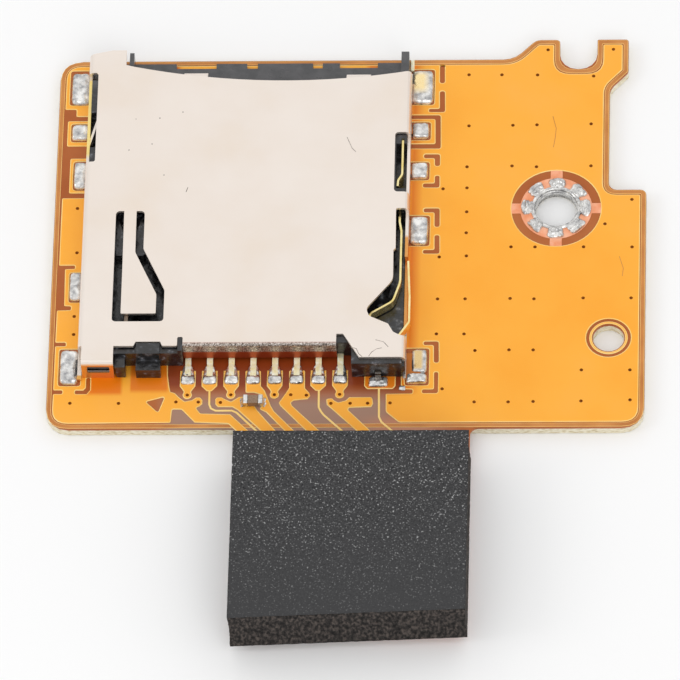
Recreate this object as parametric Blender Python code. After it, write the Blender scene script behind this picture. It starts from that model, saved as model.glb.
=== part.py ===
"""Push-push socket for a micro-size memory card, on a flexible printed board.

All sizes are in metres. X runs to the right seen from above, +Y points out of
the card mouth, +Z is up. The origin is the middle of the whole part, on the
surface that it lies on.
"""
from math import ceil, cos, pi, radians, sin, tan

import bmesh
import bpy
from mathutils import Vector

# Board
BOARD_WIDTH = 30.18e-3
BOARD_REAR_MARGIN = 4.14e-3
BOARD_CORNER = 1.15e-3
FLEX_THICKNESS = 0.15e-3
STIFFENER_THICKNESS = 0.44e-3
GLUE_GAP = 0.01e-3
SEAT_GAP = 0.01e-3
EAR_REACH = 1.19e-3
EAR_WIDTH = 5.30e-3
EAR_INSET = 0.98e-3
NECK_INSET = 1.92e-3
SHOULDER_Y = 14.18e-3
EAR_FOOT_Y = 20.35e-3
NOTCH_WIDTH = 1.92e-3
NOTCH_DEPTH = 1.80e-3
NOTCH_INSET = 2.58e-3
SCREW_HOLE_DIAMETER = 2.2e-3
SCREW_HOLE_INSET_X = 4.58e-3
SCREW_HOLE_INSET_Y = 9.11e-3
ALIGN_HOLE_DIAMETER = 1.6e-3
ALIGN_HOLE_INSET_X = 1.84e-3
ALIGN_HOLE_INSET_Y = 16.90e-3

# Tail, foam and plug
TAIL_LENGTH = 12.73e-3
TAIL_CENTRE_X = 0.51e-3
TAIL_MARGIN = 0.08e-3
TAIL_FILLET = 0.42e-3
FOAM_WIDTH = 11.82e-3
FOAM_HEIGHT = 2.80e-3
FOAM_SETBACK = 1.86e-3
FOAM_SKEW = 0.50e-3
FOAM_EDGE = 0.10e-3
PLUG_LENGTH = 8.60e-3
PLUG_WIDTH = 2.30e-3
PLUG_POCKET_DEPTH = 0.28e-3
PLUG_WALL = 0.45e-3
PLUG_PITCH = 0.40e-3
PLUG_PAIRS = 15
PLUG_RIB_WIDTH = 0.20e-3
PLUG_RIB_PROUD = 0.07e-3
PLUG_FROM_TAIL_END = 2.60e-3
LUG_LENGTH = 0.50e-3

# Shell
SOCKET_INSET = 1.58e-3
SHELL_WIDTH = 16.56e-3
LEAD_IN = 5.80e-3
SHELL_TAB_INSET = 0.26e-3
SHELL_HEIGHT = 1.45e-3
SHELL_WALL = 0.15e-3
SHELL_BEND = 0.28e-3
LIP_LEFT_SETBACK = 1.00e-3
LIP_RIGHT_SETBACK = 1.30e-3
LIP_SAG = 0.75e-3
TAB_WIDTH = 1.90e-3
TAB_SLOPE_WIDTH = 1.25e-3
TAB_SLOPE_DEPTH = 0.30e-3
GUIDE_LIP_WIDTH = 1.23e-3
GUIDE_LIP_DROP = 0.30e-3
LEFT_LIP_INSET = 4.88e-3
RIGHT_LIP_INSET = 13.23e-3
LEFT_LEG = 1.12e-3
RIGHT_LEG = 0.90e-3
CORNER_LEG_WIDTH = 1.82e-3
LEG_SLOT_WIDTH = 1.13e-3
LEG_SLOT_HEIGHT = 0.55e-3
REAR_WALL_LEFT = 5.31e-3
REAR_WALL_WIDTH = 7.76e-3
REAR_WALL_LIFT = 0.24e-3
REAR_WALL_BACK = 0.10e-3
REAR_BEND = 0.18e-3
REAR_SLIT = 0.27e-3
TOP_OVERHANG = 0.12e-3
BAY_INSET = 2.93e-3
BAY_WIDTH = 1.25e-3
WINDOW_SILL = 0.95e-3
SWITCH_SILL = 0.30e-3
SWITCH_SILL_START = 0.50e-3
SWITCH_SILL_END = 5.45e-3
LEFT_WINDOW_SETBACK = 1.38e-3
LEFT_WINDOW_LENGTH = 5.42e-3
LEFT_WINDOW_REACH = 0.49e-3
RIGHT_WINDOW_START = 9.07e-3
RIGHT_WINDOW_LENGTH = 3.61e-3
RIGHT_WINDOW_REACH = 0.76e-3
SIDE_TAB_START = 1.22e-3
SIDE_TAB_LENGTH = 1.6e-3
SIDE_TAB_LEAN = 0.42e-3
FINGER_LEFT = 2.10e-3
FINGER_ROOT_WIDTH = 0.63e-3
FINGER_TIP_WIDTH = 1.78e-3
FINGER_TIP_LENGTH = 1.15e-3
FINGER_ROOT_LENGTH = 2.40e-3
FINGER_LENGTH = 6.04e-3
FINGER_SLOT = 0.42e-3
FINGER_BEND = 2.60e-3
FINGER_Y = 1.93e-3
FOOT_THICKNESS = 0.15e-3
FOOT_MARGIN = 0.25e-3
FOOT_SETBACK = 0.35e-3

# Edge of the window over the switch: in from the right wall, in front of the rear wall, corner radius
SWITCH_WINDOW = (
    (0.63e-3, 8.07e-3, 0.10e-3),
    (0.60e-3, 5.66e-3, 0.05e-3),
    (0.71e-3, 5.54e-3, 0.05e-3),
    (0.69e-3, 3.77e-3, 0.70e-3),
    (2.03e-3, 2.05e-3, 0.35e-3),
    (1.86e-3, 1.61e-3, 0.22e-3),
    (0.89e-3, 1.14e-3, 0.12e-3),
    (0.63e-3, 0.66e-3, 0.10e-3),
    (0.30e-3, 0.47e-3, 0.05e-3),
)

# Moulding: distances from the shell's outside, heights from the board's top
FLOOR_THICKNESS = 0.28e-3
FLOOR_SETBACK = 0.10e-3
FLOOR_NOTCH_DEPTH = 0.30e-3
RAIL_SETBACK = 1.70e-3
PRONG_REACH = 0.20e-3
PRONG_HEIGHT = 0.90e-3
LEFT_PRONG_INSET = 2.02e-3
LEFT_PRONG_WIDTH = 0.23e-3
RIGHT_PRONG_WIDTH = 0.40e-3
GUIDE_WALL = 0.20e-3
GUIDE_WALL_START = 3.5e-3
GUIDE_WALL_END = 8.6e-3
BENCH_REACH = 0.42e-3
BENCH_HEIGHT = 1.20e-3
STEP_REACH = 1.14e-3
STEP_HEIGHT = 0.75e-3
REAR_BLOCK_INSET = 0.77e-3
REAR_BLOCK_REACH = 1.12e-3
REAR_BLOCK_HEIGHT = 1.27e-3
STOP_DEPTH = 0.83e-3
PIVOT_DEPTH = 0.53e-3
BRAKE_WELL_START = 9.4e-3
BRAKE_WELL_LENGTH = 2.7e-3
BRAKE_WELL_WIDTH = 0.55e-3

# Notches in the floor's front edge: in from the left wall, width
FLOOR_NOTCHES = ((12.80e-3, 1.95e-3), (11.42e-3, 0.50e-3), (8.03e-3, 0.55e-3), (4.40e-3, 2.05e-3))

# Card, contacts and slot
CARD_WIDTH = 11.0e-3
CARD_CLEARANCE = 0.10e-3
FIRST_CONTACT_X = 5.54e-3
CONTACT_PITCH = 1.10e-3
CONTACT_COUNT = 8
CARD_EDGE_TO_CONTACT = 2.16e-3
CONTACT_WIDTH = 0.30e-3
CONTACT_THICKNESS = 0.10e-3
CONTACT_LIFT = 0.62e-3
CONTACT_REACH = 4.68e-3
CONTACT_TIP_DROP = 0.20e-3
CONTACT_JOG = 0.06e-3
CONTACT_WINDOW_START = 1.85e-3
CONTACT_WINDOW_MARGIN = 0.12e-3
TAIL_REACH = 1.13e-3

# Push-push mechanism
SLIDER_TRAVEL = 4.60e-3
SLIDER_HEIGHT = 0.51e-3
SLIDER_LENGTH = 6.30e-3
ARM_WIDTH = 1.62e-3
SEAT_LENGTH = 3.20e-3
NOSE_REACH = 1.10e-3
NOSE_LENGTH = 1.50e-3
CAM_DEPTH = 0.26e-3
CAM_LANE = 0.40e-3
CAM_LANE_LENGTH = 0.40e-3
CAM_HEART_START = 2.00e-3
CAM_HEART_LENGTH = 1.45e-3
CAM_HEART_WIDTH = 0.40e-3
CAM_HEART_NOTCH = 0.25e-3
SLIDER_BEHIND_PIN = 0.50e-3
PIN_DIAMETER = 0.26e-3
PIN_LENGTH = 5.65e-3
PIN_SWEEP = 0.50e-3
RUN_CLEARANCE = 0.02e-3
SIDE_CLEARANCE = 0.05e-3
SPRING_DIAMETER = 0.90e-3
SPRING_WIRE = 0.11e-3
SPRING_TURNS = 13
LATCH_THICKNESS = 0.10e-3
LATCH_HEIGHT = 0.36e-3
LATCH_LENGTH = 1.70e-3
LATCH_ROOT = 0.48e-3
LATCH_INSET = 0.22e-3
LATCH_CATCH = 0.30e-3

# Card detect switch and brake
LEAF_THICKNESS = 0.10e-3
LEAF_HEIGHT = 0.55e-3
LEAF_LIFT = 0.40e-3
TERMINAL_BEYOND_CONTACT = 0.83e-3
TERMINAL_FACE = 1.25e-3
TERMINAL_FOOT = 0.38e-3
TERMINAL_HEIGHT = 0.52e-3
TERMINAL_TURN = 0.70e-3
FIXED_LEAF_END = 5.2e-3
FIXED_LEAF_OUT = 0.14e-3
BLADE_ROOT = 8.95e-3
BLADE_INSET = 0.30e-3
BLADE_CREST = 2.05e-3
BLADE_CREST_OUT = 0.22e-3
BRAKE_START = 9.6e-3
BRAKE_LENGTH = 2.8e-3
BRAKE_INSET = 0.22e-3
BRAKE_HEIGHT = 1.15e-3

# Solder and capacitor
SOLDER_HEIGHT = 0.30e-3
TAIL_SOLDER_WIDTH = 0.74e-3
TAIL_SOLDER_LENGTH = 1.30e-3
TAIL_SOLDER_BEYOND = 0.41e-3
TAIL_SOLDER_HEIGHT = 0.20e-3
DETECT_SOLDER_WIDTH = 1.00e-3
DETECT_SOLDER_LENGTH = 0.72e-3
DETECT_SOLDER_BEYOND = 0.25e-3
SOLDER_CORNER = 0.15e-3
CAPACITOR_LENGTH = 1.00e-3
CAPACITOR_WIDTH = 0.50e-3
CAPACITOR_HEIGHT = 0.36e-3
CAPACITOR_TERMINAL = 0.24e-3
CAPACITOR_X = 10.46e-3
CAPACITOR_Y = 1.52e-3

# Solder joints along each side: start from the shell's rear as a share of its depth, length, reach
LEFT_JOINTS = (
    (0.8616, 1.94e-3, 0.98e-3),
    (0.7396, 0.95e-3, 0.88e-3),
    (0.5737, 1.60e-3, 0.68e-3),
    (0.1940, 1.68e-3, 0.66e-3),
    (-0.0872, 2.04e-3, 0.98e-3),
)
RIGHT_JOINTS = (
    (0.8594, 2.05e-3, 1.10e-3),
    (0.7402, 0.93e-3, 0.92e-3),
    (0.6018, 0.97e-3, 0.90e-3),
    (0.3780, 1.70e-3, 0.98e-3),
    (-0.0872, 1.98e-3, 1.08e-3),
)

# Derived places
board_left = -BOARD_WIDTH / 2
board_right = BOARD_WIDTH / 2
shell_depth = PIVOT_DEPTH + PIN_LENGTH - SLIDER_BEHIND_PIN + SLIDER_LENGTH + LEAD_IN
board_depth = SHELL_TAB_INSET + shell_depth + BOARD_REAR_MARGIN
mouth_edge = (board_depth + TAIL_LENGTH + EAR_REACH) / 2 - EAR_REACH
tail_edge = mouth_edge - board_depth
board_top = STIFFENER_THICKNESS + GLUE_GAP + FLEX_THICKNESS
shell_left = board_left + SOCKET_INSET
shell_right = shell_left + SHELL_WIDTH
shell_front = mouth_edge - SHELL_TAB_INSET
shell_rear = shell_front - shell_depth
left_window_start = shell_front - LEFT_WINDOW_SETBACK - LEFT_WINDOW_LENGTH
shell_top = board_top + SHELL_HEIGHT
shell_inside = shell_top - SHELL_WALL
inner_left = shell_left + SHELL_WALL
inner_right = shell_right - SHELL_WALL
floor_bottom = board_top + SEAT_GAP
floor_top = floor_bottom + FLOOR_THICKNESS
moulding_top = shell_inside - SIDE_CLEARANCE
first_contact = shell_left + FIRST_CONTACT_X
slot_left = first_contact - CARD_EDGE_TO_CONTACT - CARD_CLEARANCE
slot_right = slot_left + CARD_WIDTH + 2 * CARD_CLEARANCE
arm_right = slot_left - CARD_CLEARANCE
arm_left = arm_right - ARM_WIDTH
cam_x = (arm_left + arm_right) / 2
stop_y = shell_rear + STOP_DEPTH
pivot_y = shell_rear + PIVOT_DEPTH
pin_tip_y = pivot_y + PIN_LENGTH
slider_rear = pin_tip_y - SLIDER_BEHIND_PIN
slider_front = slider_rear + SLIDER_LENGTH
slider_bottom = floor_top + RUN_CLEARANCE
slider_top = slider_bottom + SLIDER_HEIGHT
rear_wall_left = shell_left + REAR_WALL_LEFT
rear_wall_right = rear_wall_left + REAR_WALL_WIDTH
leg_right = shell_left + CORNER_LEG_WIDTH
bay_left = shell_left + BAY_INSET
arc_steps = 4
beyond = 1e-3


def look(name, colour, roughness, metallic=0.0):
    """A plain Principled material."""
    material = bpy.data.materials.new(name)
    material.use_nodes = True
    shader = material.node_tree.nodes["Principled BSDF"]
    shader.inputs["Base Color"].default_value = (*colour, 1.0)
    shader.inputs["Roughness"].default_value = roughness
    shader.inputs["Metallic"].default_value = metallic
    material.diffuse_color = (*colour, 1.0)
    return material


def black_moulding(name):
    return look(name, (0.03, 0.03, 0.035), 0.45)


def nickel(name):
    return look(name, (0.80, 0.75, 0.68), 0.28, 1.0)


def pale_gold(name):
    return look(name, (0.90, 0.80, 0.50), 0.25, 1.0)


def solder_metal(name):
    return look(name, (0.72, 0.72, 0.73), 0.30, 1.0)


def add_mesh(name, shape):
    """Turn a bmesh into a linked object."""
    mesh = bpy.data.meshes.new(name)
    shape.to_mesh(mesh)
    shape.free()
    body = bpy.data.objects.new(name, mesh)
    bpy.context.scene.collection.objects.link(body)
    return body


def finish(body, name, material, smooth_angle=None):
    """Name a finished piece, give it its material and its shading."""
    body.name = name
    body.data.name = name
    body.data.materials.clear()
    body.data.materials.append(material)
    if smooth_angle is not None:
        body.data.shade_smooth()
        body.data.set_sharp_from_angle(angle=radians(smooth_angle))
    return body


def rounded(corners, closed=True):
    """A path with its corners rounded: each corner is (x, y, radius)."""
    points = []
    count = len(corners)
    for index, (x, y, radius) in enumerate(corners):
        here = Vector((x, y))
        if radius <= 0 or (not closed and index in (0, count - 1)):
            points.append(here)
            continue
        before = Vector(corners[index - 1][:2]) - here
        after = Vector(corners[(index + 1) % count][:2]) - here
        turn = before.angle(after)
        run = min(radius / tan(turn / 2), before.length * 0.499, after.length * 0.499)
        fitted = run * tan(turn / 2)
        middle = here + (before.normalized() + after.normalized()).normalized() * (fitted / sin(turn / 2))
        start = here + before.normalized() * run - middle
        sweep = pi - turn
        side = 1.0 if before.x * after.y - before.y * after.x < 0 else -1.0
        steps = max(1, ceil(sweep / (pi / 2) * arc_steps))
        for step in range(steps + 1):
            angle = side * sweep * step / steps
            turned = Vector((start.x * cos(angle) - start.y * sin(angle),
                             start.x * sin(angle) + start.y * cos(angle)))
            points.append(middle + turned)
    return points


def circle(x, y, diameter, count=32):
    return [Vector((x + diameter / 2 * cos(2 * pi * i / count), y + diameter / 2 * sin(2 * pi * i / count)))
            for i in range(count)]


def rectangle(x0, x1, y0, y1, radius=0.0):
    return rounded([(x0, y0, radius), (x1, y0, radius), (x1, y1, radius), (x0, y1, radius)])


def prism(outline, low, high, axis="Z", holes=()):
    """A closed solid: an outline drawn across an axis and pulled along it."""
    place = {"Z": lambda p: Vector((p.x, p.y, low)),
             "Y": lambda p: Vector((p.x, low, p.y)),
             "X": lambda p: Vector((low, p.x, p.y))}[axis]
    run = high - low
    pull = {"Z": Vector((0, 0, run)), "Y": Vector((0, run, 0)), "X": Vector((run, 0, 0))}[axis]
    shape = bmesh.new()
    edges = []
    for loop in (outline, *holes):
        points = [shape.verts.new(place(p)) for p in loop]
        if not holes:
            shape.faces.new(points)
            break
        edges += [shape.edges.new((points[i - 1], points[i])) for i in range(len(points))]
    if holes:
        bmesh.ops.triangle_fill(shape, use_beauty=True, use_dissolve=False, edges=edges)
    pulled = bmesh.ops.extrude_face_region(shape, geom=shape.faces[:])["geom"]
    far_points = [item for item in pulled if isinstance(item, bmesh.types.BMVert)]
    bmesh.ops.translate(shape, vec=pull, verts=far_points)
    bmesh.ops.recalc_face_normals(shape, faces=shape.faces[:])
    return add_mesh("shape", shape)


def block(x0, x1, y0, y1, z0, z1):
    return prism(rectangle(x0, x1, y0, y1), z0, z1)


def ribbon(path, thickness):
    """The outline of a sheet of one thickness that follows a path."""
    left, right = [], []
    for index, here in enumerate(path):
        ahead = (path[min(index + 1, len(path) - 1)] - here)
        behind = (here - path[max(index - 1, 0)])
        if index == 0:
            behind = ahead
        if index == len(path) - 1:
            ahead = behind
        ahead, behind = ahead.normalized(), behind.normalized()
        normal = Vector((-(ahead.y + behind.y), ahead.x + behind.x)).normalized()
        across = normal.dot(Vector((-behind.y, behind.x)))
        offset = normal * (thickness / 2 / across)
        left.append(here + offset)
        right.append(here - offset)
    return left + right[::-1]


def boolean(body, tool, operation):
    """Cut, join or intersect a body with a tool, which is then removed."""
    step = body.modifiers.new("shape", "BOOLEAN")
    step.object = tool
    step.operation = operation
    step.solver = "EXACT"
    graph = bpy.context.evaluated_depsgraph_get()
    mesh = bpy.data.meshes.new_from_object(body.evaluated_get(graph))
    body.modifiers.clear()
    body.data = mesh
    bpy.data.objects.remove(tool, do_unlink=True)
    return body


def cut(body, *tools):
    for tool in tools:
        boolean(body, tool, "DIFFERENCE")
    return body


def join(body, *tools):
    for tool in tools:
        boolean(body, tool, "UNION")
    return body


def wire(name, points, diameter, material, sides=2):
    """A round wire along a path, with closed ends."""
    curve = bpy.data.curves.new(name, "CURVE")
    curve.dimensions = "3D"
    curve.bevel_depth = diameter / 2
    curve.bevel_resolution = sides
    curve.use_fill_caps = True
    spline = curve.splines.new("POLY")
    spline.points.add(len(points) - 1)
    for slot, point in zip(spline.points, points):
        slot.co = (*point, 1.0)
    curve.materials.append(material)
    body = bpy.data.objects.new(name, curve)
    bpy.context.scene.collection.objects.link(body)
    return body


def board_outline(with_tail):
    """The board seen from above, counter-clockwise from its left tail-side corner."""
    tail_left = TAIL_CENTRE_X - FOAM_WIDTH / 2 + TAIL_MARGIN
    tail_right = TAIL_CENTRE_X + FOAM_WIDTH / 2 - TAIL_MARGIN
    tail_end = tail_edge - TAIL_LENGTH + FOAM_SKEW + TAIL_MARGIN
    shoulder = tail_edge + SHOULDER_Y
    neck = board_right - NECK_INSET
    ear_right = board_right - EAR_INSET
    ear_top = mouth_edge + EAR_REACH
    notch_right = board_right - NOTCH_INSET
    notch_left = notch_right - NOTCH_WIDTH
    notch_bottom = ear_top - NOTCH_DEPTH
    ear_left = board_right - EAR_INSET - EAR_WIDTH
    round_bottom = NOTCH_WIDTH / 2
    corners = [(board_left, tail_edge, BOARD_CORNER)]
    if with_tail:
        corners += [(tail_left, tail_edge, TAIL_FILLET), (tail_left, tail_end, TAIL_FILLET),
                    (tail_right, tail_end, TAIL_FILLET), (tail_right, tail_edge, TAIL_FILLET)]
    corners += [(board_right, tail_edge, BOARD_CORNER), (board_right, shoulder, 0.3e-3),
                (neck, shoulder, 0.42e-3), (neck, tail_edge + EAR_FOOT_Y, 0.8e-3),
                (ear_right, tail_edge + EAR_FOOT_Y + (ear_right - neck) * 1.1, 0.25e-3),
                (ear_right, ear_top, 0.15e-3), (notch_right, ear_top, 0.08e-3),
                (notch_right, notch_bottom, round_bottom), (notch_left, notch_bottom, round_bottom),
                (notch_left, ear_top, 0.2e-3), (ear_left + 0.55e-3, ear_top, 0.6e-3),
                (ear_left - 0.58e-3, mouth_edge, 1.3e-3), (board_left, mouth_edge, BOARD_CORNER)]
    return rounded(corners)


def board_holes():
    screw_x, screw_y = board_right - SCREW_HOLE_INSET_X, mouth_edge - SCREW_HOLE_INSET_Y
    align_x, align_y = board_right - ALIGN_HOLE_INSET_X, mouth_edge - ALIGN_HOLE_INSET_Y
    screw = circle(screw_x, screw_y, SCREW_HOLE_DIAMETER)
    align = circle(align_x, align_y, ALIGN_HOLE_DIAMETER, 24)
    return screw, align


def make_board():
    flex = prism(board_outline(True), board_top - FLEX_THICKNESS, board_top, holes=board_holes())
    finish(flex, "flex_circuit", look("flex", (0.90, 0.45, 0.08), 0.35))
    plate = prism(board_outline(False), 0.0, STIFFENER_THICKNESS, holes=board_holes())
    finish(plate, "stiffener", look("laminate", (0.80, 0.76, 0.62), 0.6))


def make_foam():
    left = TAIL_CENTRE_X - FOAM_WIDTH / 2
    right = left + FOAM_WIDTH
    back = tail_edge - FOAM_SETBACK
    front = tail_edge - TAIL_LENGTH
    base = board_top + SEAT_GAP
    outline = [Vector((left, front)), Vector((right, front + FOAM_SKEW)), Vector((right, back)),
               Vector((left, back))]
    foam = prism(outline, base, base + FOAM_HEIGHT)
    shape = bmesh.new()
    shape.from_mesh(foam.data)
    bmesh.ops.bevel(shape, geom=shape.edges[:] + shape.verts[:], offset=FOAM_EDGE, segments=2,
                    affect="EDGES", profile=0.5)
    shape.to_mesh(foam.data)
    shape.free()
    finish(foam, "foam_pad", look("foam", (0.07, 0.07, 0.075), 0.95))


def plug_outline(x0, x1, y0, y1):
    """The plug's outline: contact ribs stand proud of its two long sides."""
    middle = (x0 + x1) / 2
    first = middle - (PLUG_PAIRS - 1) / 2 * PLUG_PITCH
    half = PLUG_RIB_WIDTH / 2
    points = [Vector((x0, y0))]
    for index in range(PLUG_PAIRS):
        x = first + index * PLUG_PITCH
        points += [Vector((x - half, y0)), Vector((x - half, y0 - PLUG_RIB_PROUD)),
                   Vector((x + half, y0 - PLUG_RIB_PROUD)), Vector((x + half, y0))]
    points += [Vector((x1, y0)), Vector((x1, y1))]
    for index in reversed(range(PLUG_PAIRS)):
        x = first + index * PLUG_PITCH
        points += [Vector((x + half, y1)), Vector((x + half, y1 + PLUG_RIB_PROUD)),
                   Vector((x - half, y1 + PLUG_RIB_PROUD)), Vector((x - half, y1))]
    return points + [Vector((x0, y1))]


def make_plug():
    """The board-to-board plug under the tail: it faces down, so its pocket opens at the bottom."""
    top = board_top - FLEX_THICKNESS - SEAT_GAP
    x0 = TAIL_CENTRE_X - PLUG_LENGTH / 2
    x1 = x0 + PLUG_LENGTH
    y0 = tail_edge - TAIL_LENGTH + PLUG_FROM_TAIL_END
    y1 = y0 + PLUG_WIDTH
    plug = prism(plug_outline(x0, x1, y0, y1), 0.0, top)
    cut(plug, prism(rectangle(x0 + PLUG_WALL, x1 - PLUG_WALL, y0 + PLUG_WALL, y1 - PLUG_WALL, 0.12e-3),
                    -PLUG_POCKET_DEPTH, PLUG_POCKET_DEPTH))
    finish(plug, "plug_housing", black_moulding("plug plastic"))
    inset = 0.35e-3
    for side, start in (("left", x0 - SEAT_GAP - LUG_LENGTH), ("right", x1 + SEAT_GAP)):
        lug = prism(rectangle(start, start + LUG_LENGTH, y0 + inset, y1 - inset, 0.1e-3), top - 0.2e-3, top)
        finish(lug, "plug_lug_" + side, nickel("lug metal " + side))


def lip_curve(steps=16):
    """The mouth lip between the left tab and the right wall: a long shallow hollow."""
    x0, x1 = shell_left + TAB_WIDTH + 0.35e-3, shell_right + 0.2e-3
    y0, y1 = shell_front - LIP_LEFT_SETBACK, shell_front - LIP_RIGHT_SETBACK
    curve = []
    for step in range(steps + 1):
        t = step / steps
        curve.append(Vector((x0 + (x1 - x0) * t, y0 + (y1 - y0) * t - 4 * LIP_SAG * t * (1 - t))))
    return curve


def lip_at(x):
    """The lip's place along Y at a given X."""
    curve = lip_curve()
    for before, after in zip(curve, curve[1:]):
        if before.x <= x <= after.x:
            share = (x - before.x) / (after.x - before.x)
            return before.y + (after.y - before.y) * share
    return curve[-1].y


def finger_outline(grow):
    """The pressing finger seen from above, or the slot round it where grow is the slot's width."""
    left = shell_left + FINGER_LEFT
    tip = shell_rear + FINGER_Y
    root = tip + FINGER_LENGTH
    step_start = tip + FINGER_TIP_LENGTH
    step_end = root - FINGER_ROOT_LENGTH
    narrow = left + FINGER_ROOT_WIDTH + grow
    wide = left + FINGER_TIP_WIDTH + grow
    corner = 0.06e-3 + grow * 0.3
    return rounded([(left - grow, tip - grow * 1.4, corner), (wide, tip - grow * 1.4, corner),
                    (wide, step_start + grow * 0.3, 0.3e-3), (narrow, step_end + grow * 0.3, 0.3e-3),
                    (narrow, root, grow / 2), (left - grow, root, grow / 2)])


def make_finger():
    """The finger itself, bent down so that it rides on the cam pin."""
    left = shell_left + FINGER_LEFT
    tip = shell_rear + FINGER_Y
    root = tip + FINGER_LENGTH
    dip = shell_inside - (slider_top + RUN_CLEARANCE + PIN_DIAMETER + SEAT_GAP)
    middle = shell_top - SHELL_WALL / 2
    path = rounded([(root + 0.3e-3, middle, 0), (root - 0.3e-3, middle, 3e-3),
                    (tip + FINGER_BEND, middle - dip, 3e-3), (tip - 0.1e-3, middle - dip, 0)], closed=False)
    sheet = prism(ribbon(path, SHELL_WALL), left - 1e-3, left + 3e-3, "X")
    plan = finger_outline(0.0)
    top = max(point.y for point in plan)
    stretched = [Vector((p.x, p.y + (0.25e-3 if p.y > top - 1e-6 else 0.0))) for p in plan]
    return boolean(sheet, prism(stretched, board_top, shell_top + 1e-3), "INTERSECT")


def bent_sheet(y_start, y_wall, bend, z_low, x0, x1):
    """Sheet that runs back at the top and folds down into a rear wall, whose outside is at y_wall."""
    middle = shell_top - SHELL_WALL / 2
    path = rounded([(y_start, middle, 0), (y_wall + SHELL_WALL / 2, middle, bend - SHELL_WALL / 2),
                    (y_wall + SHELL_WALL / 2, z_low, 0)], closed=False)
    return prism(ribbon(path, SHELL_WALL), x0, x1, "X")


def shell_feet():
    """Solder feet that turn outwards from the side walls."""
    feet = []
    low = board_top + SEAT_GAP
    for joints, wall, way in ((LEFT_JOINTS, shell_left, -1), (RIGHT_JOINTS, shell_right, 1)):
        for start, length, reach in joints:
            y0 = shell_rear + start * shell_depth + FOOT_MARGIN
            y1 = y0 + length - 2 * FOOT_MARGIN
            ends = sorted((wall - way * SHELL_WALL, wall + way * (reach - FOOT_SETBACK)))
            feet.append(block(ends[0], ends[1], y0, y1, low, low + FOOT_THICKNESS))
    return feet


def rear_edge():
    """What is stamped away behind the top sheet, as (x, distance in front of the rear, corner radius)."""
    far = -LEFT_LEG - beyond
    slit_end = 0.40e-3
    shoulder = 0.55e-3
    shallow = 0.13e-3
    corners = [(shell_left - beyond, far, 0), (shell_right + beyond, far, 0),
               (shell_right + beyond, -RIGHT_LEG, 0), (rear_wall_right + 1.21e-3, -RIGHT_LEG, 0.1e-3),
               (rear_wall_right + 0.34e-3, shoulder, 0.05e-3), (rear_wall_right, shoulder, 0.03e-3),
               (rear_wall_right, SHELL_BEND, 0), (rear_wall_left, SHELL_BEND, 0),
               (rear_wall_left, slit_end, 0.08e-3), (rear_wall_left - REAR_SLIT, slit_end, 0.08e-3),
               (rear_wall_left - REAR_SLIT, -TOP_OVERHANG, 0.05e-3),
               (bay_left + BAY_WIDTH + 0.10e-3, -TOP_OVERHANG, 0.05e-3),
               (bay_left + BAY_WIDTH, shallow, 0.05e-3), (bay_left, shallow, 0.05e-3),
               (bay_left - 0.10e-3, -TOP_OVERHANG, 0.05e-3),
               (leg_right, -TOP_OVERHANG, 0), (leg_right, SHELL_BEND - LEFT_LEG, 0),
               (shell_left - beyond, SHELL_BEND - LEFT_LEG, 0)]
    return rounded([(x, shell_rear + ahead, radius) for x, ahead, radius in corners])


def shell_tools():
    """Everything that is stamped out of the folded shell."""
    above, below = shell_top + beyond, board_top - beyond
    sill = board_top + WINDOW_SILL
    lip = lip_curve()
    tab_right = shell_left + TAB_WIDTH
    mouth = [Vector((tab_right, shell_front + beyond)), Vector((tab_right, lip[0].y + 0.1e-3))]
    mouth += lip + [Vector((lip[-1].x, shell_front + beyond))]
    slope = [Vector((shell_left - SHELL_WALL, shell_front - TAB_SLOPE_DEPTH)),
             Vector((shell_left + TAB_SLOPE_WIDTH, shell_front + RUN_CLEARANCE)),
             Vector((shell_left - SHELL_WALL, shell_front + beyond))]
    switch_sill = block(inner_right - SIDE_CLEARANCE, shell_right + beyond, shell_rear + SWITCH_SILL_START,
                        shell_rear + SWITCH_SILL_END, board_top + SWITCH_SILL, above)
    right_start = shell_rear + RIGHT_WINDOW_START
    left_window = rectangle(shell_left - beyond, shell_left + LEFT_WINDOW_REACH, left_window_start,
                            left_window_start + LEFT_WINDOW_LENGTH, 0.12e-3)
    right_window = rectangle(shell_right - RIGHT_WINDOW_REACH, shell_right + beyond, right_start,
                             right_start + RIGHT_WINDOW_LENGTH, 0.18e-3)
    switch_window = rounded([(shell_right - inset, shell_rear + ahead, radius)
                             for inset, ahead, radius in SWITCH_WINDOW]
                            + [(shell_right + beyond, shell_rear + SWITCH_WINDOW[-1][1] - 0.10e-3, 0),
                               (shell_right + beyond, shell_rear + SWITCH_WINDOW[0][1], 0)])
    left_wall_end = block(shell_left - beyond, inner_left + SIDE_CLEARANCE, shell_rear - LEFT_LEG - beyond,
                          shell_rear - REAR_WALL_BACK, below, above)
    right_wall_end = block(inner_right - RUN_CLEARANCE, shell_right + beyond,
                           shell_rear - RIGHT_LEG - beyond, shell_rear - SIDE_CLEARANCE,
                           below, shell_inside - SHELL_BEND)
    windows = [prism(outline, sill, above) for outline in (left_window, right_window, switch_window)]
    return [prism(mouth, below, above), prism(slope, below, above), switch_sill,
            prism(rear_edge(), below, above), left_wall_end, right_wall_end,
            prism(finger_outline(FINGER_SLOT), shell_inside - SHELL_WALL, above), *windows]


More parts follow.
